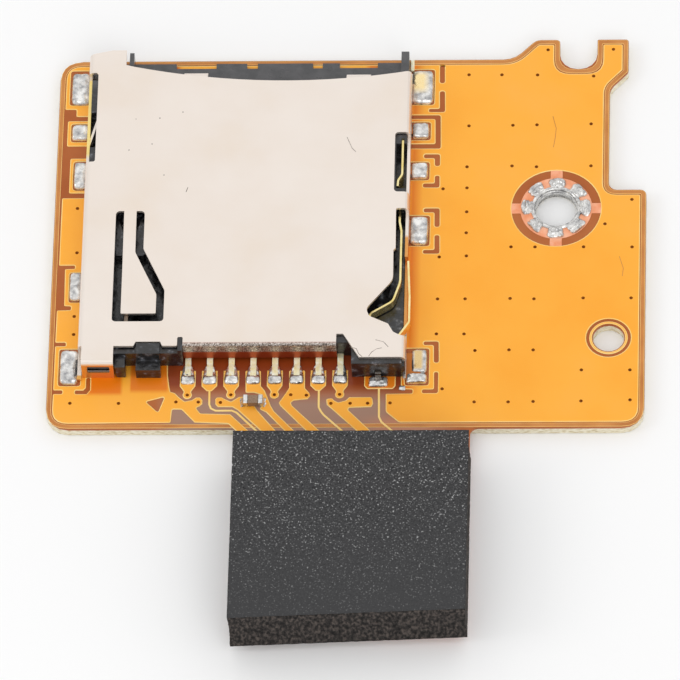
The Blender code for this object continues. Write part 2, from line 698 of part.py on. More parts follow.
def corner_leg(low):
    """The leg that folds down behind the left corner, with a slot that shows the moulding."""
    outside = shell_rear - LEFT_LEG
    leg = bent_sheet(outside + SHELL_BEND + 0.3e-3, outside, SHELL_BEND, low,
                     inner_left + SIDE_CLEARANCE, leg_right)
    middle = (shell_left + SHELL_BEND + leg_right) / 2
    slot_low = board_top + 0.5e-3
    slot = rectangle(middle - LEG_SLOT_WIDTH / 2, middle + LEG_SLOT_WIDTH / 2, slot_low,
                     slot_low + LEG_SLOT_HEIGHT, 0.08e-3)
    return cut(leg, prism(slot, outside - beyond, outside + beyond, "Y"))


def guide_lip(x):
    """A short lip turned down at the mouth to lead the card in under the sheet."""
    middle = shell_top - SHELL_WALL / 2
    y = lip_at(x + GUIDE_LIP_WIDTH / 2)
    path = rounded([(y - 0.6e-3, middle, 0), (y, middle, 0.15e-3),
                    (y + GUIDE_LIP_DROP, middle - GUIDE_LIP_DROP, 0)], closed=False)
    return prism(ribbon(path, SHELL_WALL), x, x + GUIDE_LIP_WIDTH, "X")


def side_tab():
    """The guide tab sprung inwards from the left wall."""
    x = shell_left + SHELL_WALL / 2
    y = left_window_start + SIDE_TAB_START
    path = rounded([(x, y - 0.5e-3, 0), (x, y, 0.4e-3),
                    (x + SIDE_TAB_LEAN, y + SIDE_TAB_LENGTH, 0)], closed=False)
    top = board_top + WINDOW_SILL - RUN_CLEARANCE
    return prism(ribbon(path, SHELL_WALL * 0.8), top - 0.5e-3, top)


def make_shell():
    middle_top = shell_top - SHELL_WALL / 2
    low = board_top + 2 * SEAT_GAP
    corner = SHELL_BEND - SHELL_WALL / 2
    left, right = shell_left + SHELL_WALL / 2, shell_right - SHELL_WALL / 2
    section = rounded([(left, low, 0), (left, middle_top, corner), (right, middle_top, corner),
                       (right, low, 0)], closed=False)
    shell = prism(ribbon(section, SHELL_WALL), shell_rear - LEFT_LEG + SHELL_BEND, shell_front, "Y")
    cut(shell, *shell_tools())
    join(shell, bent_sheet(shell_rear + 1.2e-3, shell_rear - REAR_WALL_BACK, REAR_BEND,
                           board_top + REAR_WALL_LIFT, rear_wall_left, rear_wall_right))
    join(shell, corner_leg(low))
    join(shell, guide_lip(shell_left + LEFT_LIP_INSET), guide_lip(shell_left + RIGHT_LIP_INSET))
    join(shell, make_finger(), side_tab(), *shell_feet())
    finish(shell, "shell", nickel("shell nickel"), 35)


def contact_xs():
    return [first_contact + index * CONTACT_PITCH for index in range(CONTACT_COUNT)]


def contact_path():
    """A contact from its tail on the pad to its curled tip: Y and Z of its middle line."""
    low = board_top + SEAT_GAP + CONTACT_THICKNESS / 2
    inside = low + CONTACT_JOG
    tip = shell_rear + CONTACT_REACH
    spring_start = shell_rear + CONTACT_WINDOW_START
    return rounded([(shell_rear - TAIL_REACH, low, 0), (shell_rear - 0.40e-3, low, 0.2e-3),
                    (shell_rear - 0.10e-3, inside, 0.2e-3), (spring_start, inside, 0.6e-3),
                    (tip - 0.6e-3, board_top + CONTACT_LIFT, 0.35e-3),
                    (tip, board_top + CONTACT_LIFT - CONTACT_TIP_DROP, 0)], closed=False)


def make_contacts():
    outline = ribbon(contact_path(), CONTACT_THICKNESS)
    for index, x in enumerate(contact_xs(), 1):
        contact = prism(outline, x - CONTACT_WIDTH / 2, x + CONTACT_WIDTH / 2, "X")
        finish(contact, "contact_%d" % index, pale_gold("contact gold %d" % index))


def terminal_x():
    return first_contact + CONTACT_COUNT * CONTACT_PITCH + TERMINAL_BEYOND_CONTACT


def terminal_path():
    """The ninth terminal behind the rear block: Y and Z of its middle line."""
    low = board_top + SEAT_GAP + CONTACT_THICKNESS / 2
    high = board_top + TERMINAL_HEIGHT
    face = shell_rear - TERMINAL_FACE
    return rounded([(face - TERMINAL_FOOT, low, 0), (face, low, 0.06e-3), (face, high, 0.08e-3),
                    (shell_rear + TERMINAL_TURN + LEAF_THICKNESS / 2, high, 0)], closed=False)


def make_switch():
    """The card detect switch: a fixed leaf with the terminal, and a moving blade."""
    x = terminal_x()
    half = CONTACT_WIDTH / 2
    fixed = prism(ribbon(terminal_path(), CONTACT_THICKNESS), x - half, x + half, "X")
    low = board_top + LEAF_LIFT
    turn = shell_rear + TERMINAL_TURN
    leaf_x = shell_right + FIXED_LEAF_OUT
    leaf = rounded([(x, turn, 0), (inner_right - 0.25e-3, turn, 0.15e-3), (leaf_x, turn + 0.85e-3, 0.3e-3),
                    (leaf_x, turn + 2.4e-3, 1.0e-3),
                    (shell_right + 0.03e-3, shell_rear + FIXED_LEAF_END, 0)], closed=False)
    join(fixed, prism(ribbon(leaf, LEAF_THICKNESS), low, low + LEAF_HEIGHT))
    finish(fixed, "switch_contact", pale_gold("switch contact gold"))
    root_x = inner_right - BLADE_INSET
    run_x = root_x + LEAF_THICKNESS
    root_y = shell_rear + BLADE_ROOT
    crest_x = slot_right + BLADE_CREST_OUT
    crest_y = shell_rear + BLADE_CREST
    path = rounded([(root_x, root_y, 0), (root_x, root_y - 1.4e-3, 0.2e-3),
                    (run_x, root_y - 1.95e-3, 0.4e-3), (run_x, crest_y + 1.9e-3, 0.8e-3),
                    (run_x - 0.35e-3, crest_y + 0.75e-3, 0.5e-3), (crest_x, crest_y, 0.25e-3),
                    (crest_x + 0.03e-3, crest_y - 0.45e-3, 0)], closed=False)
    blade = prism(ribbon(path, LEAF_THICKNESS), low - RUN_CLEARANCE, low + LEAF_HEIGHT)
    finish(blade, "switch_blade", pale_gold("switch blade gold"))


def make_brake():
    """The leaf in the right rail that slows the card on its way out."""
    x = inner_right - BRAKE_INSET
    y = shell_rear + BRAKE_START
    path = rounded([(x, y + BRAKE_LENGTH, 0), (x, y + 0.7e-3, 0.3e-3), (x - 0.2e-3, y + 0.35e-3, 0.2e-3),
                    (x - 0.22e-3, y, 0)], closed=False)
    leaf = prism(ribbon(path, LEAF_THICKNESS), floor_top + SEAT_GAP, board_top + BRAKE_HEIGHT)
    finish(leaf, "brake_spring", pale_gold("brake gold"))


def floor_outline():
    """The moulded floor: four notches in its front edge show the board."""
    left = inner_left + RUN_CLEARANCE
    right = inner_right - RUN_CLEARANCE
    rear = shell_rear + SHELL_WALL
    front = shell_front - FLOOR_SETBACK
    notch = front - FLOOR_NOTCH_DEPTH
    points = [Vector((left, rear)), Vector((right, rear)), Vector((right, front))]
    for start, width in FLOOR_NOTCHES:
        x0 = shell_left + start
        x1 = x0 + width
        points += [Vector((x1, front)), Vector((x1, notch)), Vector((x0, notch)), Vector((x0, front))]
    return points + [Vector((left, front))]


def rear_blocks():
    """The raised parts along the rear, as (x0, x1, y0, y1, top)."""
    left = inner_left + RUN_CLEARANCE
    right = inner_right - RUN_CLEARANCE
    rear = shell_rear + SHELL_WALL
    bench_y = shell_rear - BENCH_REACH
    bench_left = leg_right - 3 * SIDE_CLEARANCE
    post_top = shell_top - SEAT_GAP
    block_left = rear_wall_right + REAR_BLOCK_INSET
    corner_y = shell_rear - LEFT_LEG + SHELL_WALL + SIDE_CLEARANCE
    return (
        (arm_left - SIDE_CLEARANCE, slot_right + GUIDE_WALL, rear, stop_y, moulding_top),
        (left + SIDE_CLEARANCE, leg_right - SIDE_CLEARANCE, corner_y, stop_y, moulding_top),
        (bench_left, rear_wall_left - SIDE_CLEARANCE, bench_y, stop_y, board_top + BENCH_HEIGHT),
        (bay_left + RUN_CLEARANCE, bay_left + BAY_WIDTH - RUN_CLEARANCE, bench_y - SHELL_WALL,
         shell_rear + SIDE_CLEARANCE, post_top),
        (bay_left, bay_left + BAY_WIDTH, shell_rear - STEP_REACH, bench_y, board_top + STEP_HEIGHT),
        (rear_wall_left - REAR_SLIT + RUN_CLEARANCE, rear_wall_left - RUN_CLEARANCE, bench_y,
         shell_rear + 0.37e-3, post_top),
        (block_left, right, shell_rear - REAR_BLOCK_REACH, rear + 0.3e-3, board_top + REAR_BLOCK_HEIGHT),
    )


def rail_blocks():
    """The card's guide walls and the rails beside the slot, as (x0, x1, y0, y1, top)."""
    left = inner_left + RUN_CLEARANCE
    right = inner_right - RUN_CLEARANCE
    rail_front = shell_front - RAIL_SETBACK
    tip = shell_front + PRONG_REACH
    guide = slot_right + RUN_CLEARANCE
    guide_end = shell_rear + GUIDE_WALL_END
    stop = slider_front + SIDE_CLEARANCE
    inner_stop = slider_front + LATCH_LENGTH + 0.4e-3
    prong_top = board_top + PRONG_HEIGHT
    prong_left = shell_left + LEFT_PRONG_INSET
    return (
        (guide, guide + GUIDE_WALL, shell_rear + GUIDE_WALL_START, guide_end, moulding_top),
        (guide, right, guide_end - RUN_CLEARANCE, rail_front, moulding_top),
        (left, cam_x, stop, rail_front, moulding_top),
        (cam_x - RUN_CLEARANCE, slot_left - RUN_CLEARANCE, inner_stop, rail_front, moulding_top),
        (right - RIGHT_PRONG_WIDTH, right, rail_front - RUN_CLEARANCE, tip, prong_top),
        (prong_left, prong_left + LEFT_PRONG_WIDTH, rail_front - RUN_CLEARANCE, tip, prong_top),
    )


def contact_cuts():
    """A window under each contact's free length, and a channel for its fixed length."""
    tools = []
    below = board_top - beyond
    wide = CONTACT_WIDTH / 2 + CONTACT_WINDOW_MARGIN
    close = CONTACT_WIDTH / 2 + RUN_CLEARANCE
    channel_top = board_top + SEAT_GAP + CONTACT_JOG + CONTACT_THICKNESS + RUN_CLEARANCE
    window = shell_rear + CONTACT_WINDOW_START
    window_end = shell_rear + CONTACT_REACH + 3 * CONTACT_WINDOW_MARGIN
    for x in contact_xs():
        tools.append(block(x - wide, x + wide, window, window_end, below, floor_top + beyond))
        tools.append(block(x - close, x + close, shell_rear - beyond, window + RUN_CLEARANCE,
                           below, channel_top))
    return tools


def switch_cuts():
    """Room for the terminal through the rear block, for both leaves, and the moving blade's root."""
    x = terminal_x()
    half = CONTACT_WIDTH / 2 + RUN_CLEARANCE
    z = board_top + TERMINAL_HEIGHT
    thick = CONTACT_THICKNESS / 2 + RUN_CLEARANCE
    face = shell_rear - REAR_BLOCK_REACH
    low = board_top + LEAF_LIFT - 2 * RUN_CLEARANCE
    above = moulding_top + beyond
    turn = shell_rear + TERMINAL_TURN
    root_x = inner_right - BLADE_INSET
    root_half = LEAF_THICKNESS / 2 + RUN_CLEARANCE
    guide_end = shell_rear + GUIDE_WALL_END
    return [block(x - half, x + half, face - beyond, turn, z - thick, z + thick),
            block(x - 2 * half, inner_right + beyond, turn - 0.15e-3, turn + 0.5e-3, low, above),
            block(root_x - root_half, root_x + root_half, guide_end - 2 * SIDE_CLEARANCE,
                  shell_rear + BLADE_ROOT + RUN_CLEARANCE, low, above)]


def brake_cuts():
    """The well round the brake leaf, and the slot that grips its front end."""
    above = moulding_top + beyond
    well = shell_rear + BRAKE_WELL_START
    well_end = well + BRAKE_WELL_LENGTH
    x = inner_right - BRAKE_INSET
    root_half = LEAF_THICKNESS / 2 + RUN_CLEARANCE
    root_end = shell_rear + BRAKE_START + BRAKE_LENGTH + RUN_CLEARANCE
    return [block(inner_right - BRAKE_WELL_WIDTH, inner_right + beyond, well, well_end, floor_top, above),
            block(x - root_half, x + root_half, well_end - SIDE_CLEARANCE, root_end, floor_top, above)]


def rear_cheek():
    """The right rear block's outer cheek, which shows where the shell's side wall stops short."""
    return block(inner_right - 2 * SIDE_CLEARANCE, shell_right - RUN_CLEARANCE,
                 shell_rear - REAR_BLOCK_REACH, shell_rear - 2 * SIDE_CLEARANCE,
                 board_top + FOOT_THICKNESS + 2 * SIDE_CLEARANCE, shell_inside - SHELL_BEND - RUN_CLEARANCE)


def make_housing():
    housing = prism(floor_outline(), floor_bottom, floor_top)
    for x0, x1, y0, y1, top in rear_blocks() + rail_blocks():
        join(housing, block(x0, x1, y0, y1, floor_bottom, top))
    join(housing, rear_cheek())
    above = moulding_top + beyond
    tab_y = left_window_start + SIDE_TAB_START
    pivot_hole = circle(cam_x, pivot_y, PIN_DIAMETER + 2 * RUN_CLEARANCE, 12)
    cut(housing, *contact_cuts(), *switch_cuts(), *brake_cuts())
    cut(housing, prism(pivot_hole, floor_top - SIDE_CLEARANCE, above))
    cut(housing, block(cam_x - PIN_DIAMETER, cam_x + PIN_DIAMETER, pivot_y, stop_y + beyond,
                       slider_top - RUN_CLEARANCE, above))
    cut(housing, block(inner_left - beyond, inner_left + SIDE_TAB_LEAN + 0.2e-3, tab_y - 0.7e-3,
                       tab_y + SIDE_TAB_LENGTH + 0.3e-3, floor_top, above))
    finish(housing, "socket_housing", black_moulding("housing plastic"))


def heart_groove():
    """The cam groove's pocket and the heart-shaped island in it, seen from above."""
    start = pin_tip_y
    lane = CAM_LANE / 2
    wide = PIN_SWEEP + lane * 0.85
    neck = start + CAM_LANE_LENGTH
    low = start + CAM_HEART_START
    end = start + SLIDER_TRAVEL + lane
    pocket = rounded([(cam_x - lane, start - lane, lane * 0.9), (cam_x + lane, start - lane, lane * 0.9),
                      (cam_x + lane, neck, 0.3e-3), (cam_x + wide, low, 0.3e-3),
                      (cam_x + wide, end, lane), (cam_x - wide, end, lane),
                      (cam_x - wide, low, 0.3e-3), (cam_x - lane, neck, 0.3e-3)])
    lobe = CAM_HEART_WIDTH / 2
    high = low + CAM_HEART_LENGTH
    island = rounded([(cam_x, low, 0.03e-3), (cam_x + lobe, high, 0.08e-3),
                      (cam_x, high - CAM_HEART_NOTCH, 0.08e-3), (cam_x - lobe, high, 0.08e-3)])
    return pocket, island


def make_slider():
    seat_rear = slider_front - SEAT_LENGTH
    seat_left = inner_left + SIDE_CLEARANCE
    seat_top = moulding_top
    arm = prism(rounded([(arm_left, slider_rear, 0.15e-3), (arm_right, slider_rear, 0.15e-3),
                         (arm_right, slider_front - NOSE_LENGTH, 0.0),
                         (arm_right + NOSE_REACH, slider_front - NOSE_LENGTH + 0.5e-3, 0.15e-3),
                         (arm_right + NOSE_REACH, slider_front, 0.15e-3), (arm_left, slider_front, 0.0)]),
                slider_bottom, slider_top)
    pocket, island = heart_groove()
    groove = prism(pocket, slider_top - CAM_DEPTH, slider_top + 1e-3)
    cut(groove, prism(island, slider_top - CAM_DEPTH - 1e-3, slider_top + 2e-3))
    cut(arm, groove)
    seat = block(seat_left, arm_left + 0.02e-3, seat_rear, slider_front, slider_bottom, seat_top)
    join(arm, seat)
    latch_x = arm_right - LATCH_INSET
    slot_half = LATCH_THICKNESS / 2 + SEAT_GAP
    cut(arm, block(latch_x - slot_half, latch_x + slot_half, slider_front - LATCH_ROOT - SEAT_GAP,
                   slider_front + beyond, slider_bottom - beyond, slider_top + beyond))
    finish(arm, "slider", look("slider plastic", (0.10, 0.10, 0.11), 0.4))
    z0 = slider_bottom + SEAT_GAP
    catch_y = slider_front + LATCH_LENGTH - 0.45e-3
    path = rounded([(latch_x, slider_front - LATCH_ROOT, 0), (latch_x, catch_y - 0.8e-3, 0.3e-3),
                    (latch_x + 0.10e-3, catch_y - 0.35e-3, 0.2e-3),
                    (slot_left + LATCH_CATCH, catch_y, 0.1e-3),
                    (latch_x + 0.15e-3, slider_front + LATCH_LENGTH, 0)], closed=False)
    latch = prism(ribbon(path, LATCH_THICKNESS), z0, z0 + LATCH_HEIGHT)
    finish(latch, "card_latch", pale_gold("latch metal"))


def make_cam_pin():
    """A wire pin: down into the housing at one end, down into the cam groove at the other."""
    z = slider_top + RUN_CLEARANCE + PIN_DIAMETER / 2
    low = slider_top - CAM_DEPTH + 2 * RUN_CLEARANCE
    foot = floor_top
    bend = PIN_DIAMETER * 0.75
    points = [Vector((cam_x, pivot_y, foot))]
    for step in range(arc_steps + 1):
        angle = pi / 2 * step / arc_steps
        points.append(Vector((cam_x, pivot_y + bend * (1 - cos(angle)), z - bend + bend * sin(angle))))
    for step in range(arc_steps + 1):
        angle = pi / 2 * step / arc_steps
        points.append(Vector((cam_x, pin_tip_y - bend + bend * sin(angle), z - bend + bend * cos(angle))))
    points.append(Vector((cam_x, pin_tip_y, low)))
    wire("cam_pin", points, PIN_DIAMETER, look("pin steel", (0.78, 0.77, 0.75), 0.25, 1.0))


def make_spring():
    """The ejecting coil between the rear block and the slider's seat, its end turns closed."""
    radius = (SPRING_DIAMETER - SPRING_WIRE) / 2
    x = inner_left + SIDE_CLEARANCE + 0.03e-3 + SPRING_DIAMETER / 2
    z = floor_top + 0.03e-3 + SPRING_DIAMETER / 2
    start = stop_y + SEAT_GAP + SPRING_WIRE / 2
    end = slider_front - SEAT_LENGTH - SEAT_GAP - SPRING_WIRE / 2
    steps = 10
    total = SPRING_TURNS * steps
    closed = steps
    points = []
    for index in range(total + 1):
        angle = 2 * pi * index / steps
        share = min(max((index - closed) / (total - 2 * closed), 0.0), 1.0)
        pack = SPRING_WIRE * 1.15 * (min(index, closed) + max(index - total + closed, 0)) / closed
        y = start + pack + (end - start - SPRING_WIRE * 2.3) * share
        points.append(Vector((x + radius * cos(angle), y, z + radius * sin(angle))))
    wire("eject_spring", points, SPRING_WIRE, look("spring steel", (0.75, 0.74, 0.72), 0.3, 1.0), 0)


def dome(x0, x1, y0, y1, height, corner):
    """A pad of solder: rounded rectangles that draw in as they rise, like a quarter round."""
    base = board_top + SEAT_GAP
    levels = 3
    draw = min(x1 - x0, y1 - y0) * 0.32
    shape = bmesh.new()
    rings = []
    for level in range(levels + 1):
        angle = pi / 2 * level / levels
        inset = draw * (1 - cos(angle))
        z = base + height * (0.12 + 0.88 * sin(angle))
        radius = max(corner - inset * 0.5, corner * 0.4)
        outline = rectangle(x0 + inset, x1 - inset, y0 + inset, y1 - inset, radius)
        rings.append([shape.verts.new((p.x, p.y, z)) for p in outline])
    foot = [shape.verts.new((v.co.x, v.co.y, base)) for v in rings[0]]
    rings.insert(0, foot)
    for lower, upper in zip(rings, rings[1:]):
        for index in range(len(lower)):
            shape.faces.new((lower[index - 1], lower[index], upper[index], upper[index - 1]))
    shape.faces.new(rings[0][::-1])
    shape.faces.new(rings[-1])
    bmesh.ops.recalc_face_normals(shape, faces=shape.faces[:])
    return add_mesh("dome", shape)


def make_tail_solder():
    """Solder in front of and beside each tail, which lies in it with its top bare."""
    half = CONTACT_WIDTH / 2 + SEAT_GAP
    wide = TAIL_SOLDER_WIDTH / 2
    tail_end = shell_rear - TAIL_REACH
    foot_end = shell_rear - TERMINAL_FACE - TERMINAL_FOOT
    joints = [("solder_contact_%d" % number, x, wide, tail_end, TAIL_SOLDER_BEYOND, TAIL_SOLDER_LENGTH)
              for number, x in enumerate(contact_xs(), 1)]
    joints.append(("solder_detect", terminal_x(), DETECT_SOLDER_WIDTH / 2, foot_end,
                   DETECT_SOLDER_BEYOND, DETECT_SOLDER_LENGTH))
    for name, x, wide, metal_end, past, length in joints:
        y0 = metal_end - past
        blob = dome(x - wide, x + wide, y0, y0 + length, TAIL_SOLDER_HEIGHT, SOLDER_CORNER)
        cut(blob, block(x - half, x + half, metal_end - SEAT_GAP, y0 + length + beyond, board_top - beyond,
                        board_top + beyond))
        finish(blob, name, solder_metal(name + " metal"), 50)


def make_side_solder():
    """Solder over the shell's feet: each pad has a pocket that is open towards the wall."""
    room = FOOT_MARGIN - SEAT_GAP
    sides = (("left", LEFT_JOINTS, shell_left, -1), ("right", RIGHT_JOINTS, shell_right, 1))
    for side, joints, wall, way in sides:
        for index, (start, length, reach) in enumerate(joints, 1):
            y0 = shell_rear + start * shell_depth
            ends = sorted((wall + way * SEAT_GAP, wall + way * reach))
            pad = dome(ends[0], ends[1], y0, y0 + length, SOLDER_HEIGHT, SOLDER_CORNER)
            foot = sorted((wall - way * SHELL_WALL, wall + way * (reach - FOOT_SETBACK + SEAT_GAP)))
            cut(pad, block(foot[0], foot[1], y0 + room, y0 + length - room, board_top - beyond,
                           board_top + 2 * SEAT_GAP + FOOT_THICKNESS))
            name = "solder_%s_%d" % (side, index)
            finish(pad, name, solder_metal(name + " metal"), 50)


def make_capacitor():
    x = board_left + CAPACITOR_X
    y = tail_edge + CAPACITOR_Y
    base = board_top + SEAT_GAP
    half = CAPACITOR_LENGTH / 2
    side = CAPACITOR_WIDTH / 2
    inner = half - CAPACITOR_TERMINAL
    body = block(x - inner + SEAT_GAP, x + inner - SEAT_GAP, y - side + 0.02e-3, y + side - 0.02e-3,
                 base + 0.02e-3, base + CAPACITOR_HEIGHT - 0.02e-3)
    finish(body, "capacitor_body", look("capacitor ceramic", (0.42, 0.38, 0.33), 0.5))
    for name, x0 in (("left", x - half), ("right", x + inner)):
        cap = prism(rectangle(x0, x0 + CAPACITOR_TERMINAL, base, base + CAPACITOR_HEIGHT, 0.05e-3),
                    y - side, y + side, "Y")
        finish(cap, "capacitor_terminal_" + name, solder_metal("terminal tin " + name))


def build():
    for old in list(bpy.data.objects):
        bpy.data.objects.remove(old, do_unlink=True)
    make_board()
    make_foam()
    make_plug()
    make_housing()
    make_contacts()
    make_switch()
    make_brake()
    make_slider()
    make_cam_pin()
    make_spring()
    make_shell()
    make_tail_solder()
    make_side_solder()
    make_capacitor()


build()
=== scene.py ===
import math
import random

import bpy
from mathutils import Matrix, Vector, noise


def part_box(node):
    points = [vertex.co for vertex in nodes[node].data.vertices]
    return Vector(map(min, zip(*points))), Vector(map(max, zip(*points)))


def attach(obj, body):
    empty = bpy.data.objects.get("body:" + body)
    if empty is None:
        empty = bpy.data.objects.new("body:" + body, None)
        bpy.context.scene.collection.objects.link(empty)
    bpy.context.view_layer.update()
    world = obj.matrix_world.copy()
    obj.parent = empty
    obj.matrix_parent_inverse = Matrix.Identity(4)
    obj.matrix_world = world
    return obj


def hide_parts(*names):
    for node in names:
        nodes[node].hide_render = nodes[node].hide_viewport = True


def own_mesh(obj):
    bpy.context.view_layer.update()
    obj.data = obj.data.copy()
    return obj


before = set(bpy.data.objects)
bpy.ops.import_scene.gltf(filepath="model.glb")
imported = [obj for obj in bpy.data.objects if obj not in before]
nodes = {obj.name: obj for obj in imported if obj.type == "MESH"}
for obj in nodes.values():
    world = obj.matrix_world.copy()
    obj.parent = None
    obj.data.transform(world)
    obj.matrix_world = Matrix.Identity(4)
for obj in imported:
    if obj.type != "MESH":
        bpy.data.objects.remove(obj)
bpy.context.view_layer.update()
mm = 0.001
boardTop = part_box("flex_circuit")[1].z / mm
lumpCuts = 15                          # how finely each lump of solder is cut
offAxis = (0.45, 0.72, 0.31)           # turns a noise pattern, so that no rows show
cornerLimits = {"tiny": 0.01, "leastTan": 0.05, "mostOfSide": 0.48}
print("frame loaded:", len(nodes), "nodes")


def clearSelection():
    if bpy.context.object and bpy.context.object.mode != "OBJECT":
        bpy.ops.object.mode_set(mode="OBJECT")
    bpy.ops.object.select_all(action="DESELECT")


def pickOnly(piece):
    clearSelection()
    bpy.context.view_layer.objects.active = piece
    piece.select_set(True)


def tone(red, green, blue):
    # a screen colour from 0 to 255 as the linear number a shader takes
    linear = [((c / 255 + 0.055) / 1.055) ** 2.4 if c > 10 else c / 3294 for c in (red, green, blue)]
    return (*linear, 1)


def softCorners(corners, steps=5):
    # (x, y, radius) corners of a closed outline to points, each corner turned into a short arc
    points = []
    for index, (x, y, radius) in enumerate(corners):
        here = Vector((x, y))
        back = Vector(corners[index - 1][:2]) - here
        ahead = Vector(corners[(index + 1) % len(corners)][:2]) - here
        if min(radius, back.length, ahead.length) < cornerLimits["tiny"]:
            points.append((x, y))
            continue
        angle = back.angle(ahead)
        reach = min(radius / max(math.tan(angle / 2), cornerLimits["leastTan"]),
                    back.length * cornerLimits["mostOfSide"], ahead.length * cornerLimits["mostOfSide"])
        start, end = here + back.normalized() * reach, here + ahead.normalized() * reach
        for step in range(steps + 1):
            share = step / steps
            mix = start * (1 - share) ** 2 + here * 2 * share * (1 - share) + end * share ** 2
            points.append((mix.x, mix.y))
    return points


def evenCorners(points, radius):
    return softCorners([(x, y, radius) for x, y in points])


def strip(path, width):
    # outline of a printed line that follows a path
    left, right = [], []
    for index, (x, y) in enumerate(path):
        before = Vector(path[max(index - 1, 0)])
        after = Vector(path[min(index + 1, len(path) - 1)])
        side = (after - before).normalized().orthogonal() * width / 2
        left.append((x + side.x, y + side.y))
        right.append((x - side.x, y - side.y))
    return left + right[::-1]


def box(x0, x1, y0, y1, radius=0.0):
    return softCorners([(x0, y0, radius), (x1, y0, radius), (x1, y1, radius), (x0, y1, radius)])


def disc(x, y, radius, steps=20, start=0.0, turn=360.0):
    angles = [math.radians(start + turn * step / steps) for step in range(steps + (turn < 360))]
    return [(x + radius * math.cos(a), y + radius * math.sin(a)) for a in angles]


def shrink(corners, by):
    # the same closed outline (anticlockwise) moved inwards
    moved = []
    for index, (x, y, radius) in enumerate(corners):
        here = Vector((x, y))
        coming = (here - Vector(corners[index - 1][:2])).normalized()
        going = (Vector(corners[(index + 1) % len(corners)][:2]) - here).normalized()
        inwardA, inwardB = Vector((-coming.y, coming.x)), Vector((-going.y, going.x))
        turn = coming.x * going.y - coming.y * going.x
        shift = (inwardA + inwardB) / max(1 + inwardA.dot(inwardB), 0.2) * by
        moved.append((x + shift.x, y + shift.y, max(radius - by if turn > 0 else radius + by, 0.1)))
    return moved


def block(name, low, high):
    # a plain block between two corners, to be shaped further
    clearSelection()
    bpy.ops.mesh.primitive_cube_add(size=1)
    piece = bpy.context.object
    piece.name = name
    piece.scale = (Vector(high) - Vector(low)) * mm
    piece.location = (Vector(low) + Vector(high)) / 2 * mm
    bpy.ops.object.transform_apply(location=True, rotation=True, scale=True)
    return piece


def roundEdges(piece, by, segments=2):
    pickOnly(piece)
    bpy.ops.object.mode_set(mode="EDIT")
    bpy.ops.mesh.select_all(action="SELECT")
    bpy.ops.mesh.bevel(offset=by * mm, segments=segments)
    bpy.ops.object.mode_set(mode="OBJECT")


def fineCube():
    # the start of every lump of solder, from -1 to 1 each way
    clearSelection()
    bpy.ops.mesh.primitive_cube_add(size=2)
    bpy.ops.object.mode_set(mode="EDIT")
    bpy.ops.mesh.subdivide(number_cuts=lumpCuts)
    bpy.ops.object.mode_set(mode="OBJECT")
    return bpy.context.object


def closeUp(piece, within, holeSides=0):
    # doubles merged, open ends closed, faces turned outwards
    pickOnly(piece)
    bpy.ops.object.mode_set(mode="EDIT")
    bpy.ops.mesh.select_all(action="SELECT")
    bpy.ops.mesh.remove_doubles(threshold=within * mm)
    if holeSides:
        bpy.ops.mesh.fill_holes(sides=holeSides)
        bpy.ops.mesh.select_all(action="SELECT")
    bpy.ops.mesh.normals_make_consistent(inside=False)
    bpy.ops.object.mode_set(mode="OBJECT")


def settle(piece, finishName):
    # last step for every new piece: finish and body
    if finishName:
        piece.data.materials.clear()
        piece.data.materials.append(finishes[finishName])
    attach(piece, "socket")
    return piece


def joined(pieces, name):
    clearSelection()
    for piece in pieces:
        piece.select_set(True)
    bpy.context.view_layer.objects.active = pieces[0]
    if len(pieces) > 1:
        bpy.ops.object.join()
    whole = bpy.context.object
    whole.name = name
    bpy.ops.object.transform_apply(location=True, rotation=True, scale=True)
    return whole


finishes = {}


def newFinish(name, look):
    material = bpy.data.materials.new(name)
    material.use_nodes = True
    shader = material.node_tree.nodes["Principled BSDF"]
    shader.inputs["Base Color"].default_value = tone(*look["colour"])
    shader.inputs["Metallic"].default_value = look.get("metal", 0)
    shader.inputs["Roughness"].default_value = look.get("rough", 0.5)
    shader.inputs["Coat Weight"].default_value = look.get("coat", 0)
    shader.inputs["Coat Roughness"].default_value = 0.15
    shader.inputs["Specular IOR Level"].default_value = look.get("shine", 0.5)
    finishes[name] = material
    return material.node_tree, shader


def spread(tree, size, detail=3.0, stretch=(1, 1, 1)):
    # a pattern whose blotches are about `size` millimetres
    place = tree.nodes.new("ShaderNodeTexCoord")
    turnTo = tree.nodes.new("ShaderNodeMapping")
    turnTo.inputs["Scale"].default_value = stretch
    if len(set(stretch)) == 1:
        turnTo.inputs["Rotation"].default_value = offAxis
    texture = tree.nodes.new("ShaderNodeTexNoise")
    texture.inputs["Scale"].default_value = 1 / (size * mm)
    texture.inputs["Detail"].default_value = detail
    tree.links.new(place.outputs["Object"], turnTo.inputs["Vector"])
    tree.links.new(turnTo.outputs["Vector"], texture.inputs["Vector"])
    return texture


def paint(tree, shader, texture, stops):
    # colours along the pattern, as (place from 0 to 1, colour), into the base colour
    ramp = tree.nodes.new("ShaderNodeValToRGB")
    band = ramp.color_ramp
    band.elements[0].position, band.elements[0].color = stops[0][0], tone(*stops[0][1])
    band.elements[1].position, band.elements[1].color = stops[-1][0], tone(*stops[-1][1])
    for place, colour in stops[1:-1]:
        extra = band.elements.new(place)
        extra.color = tone(*colour)
    tree.links.new(texture.outputs["Fac"], ramp.inputs["Fac"])
    tree.links.new(ramp.outputs["Color"], shader.inputs["Base Color"])
    return ramp


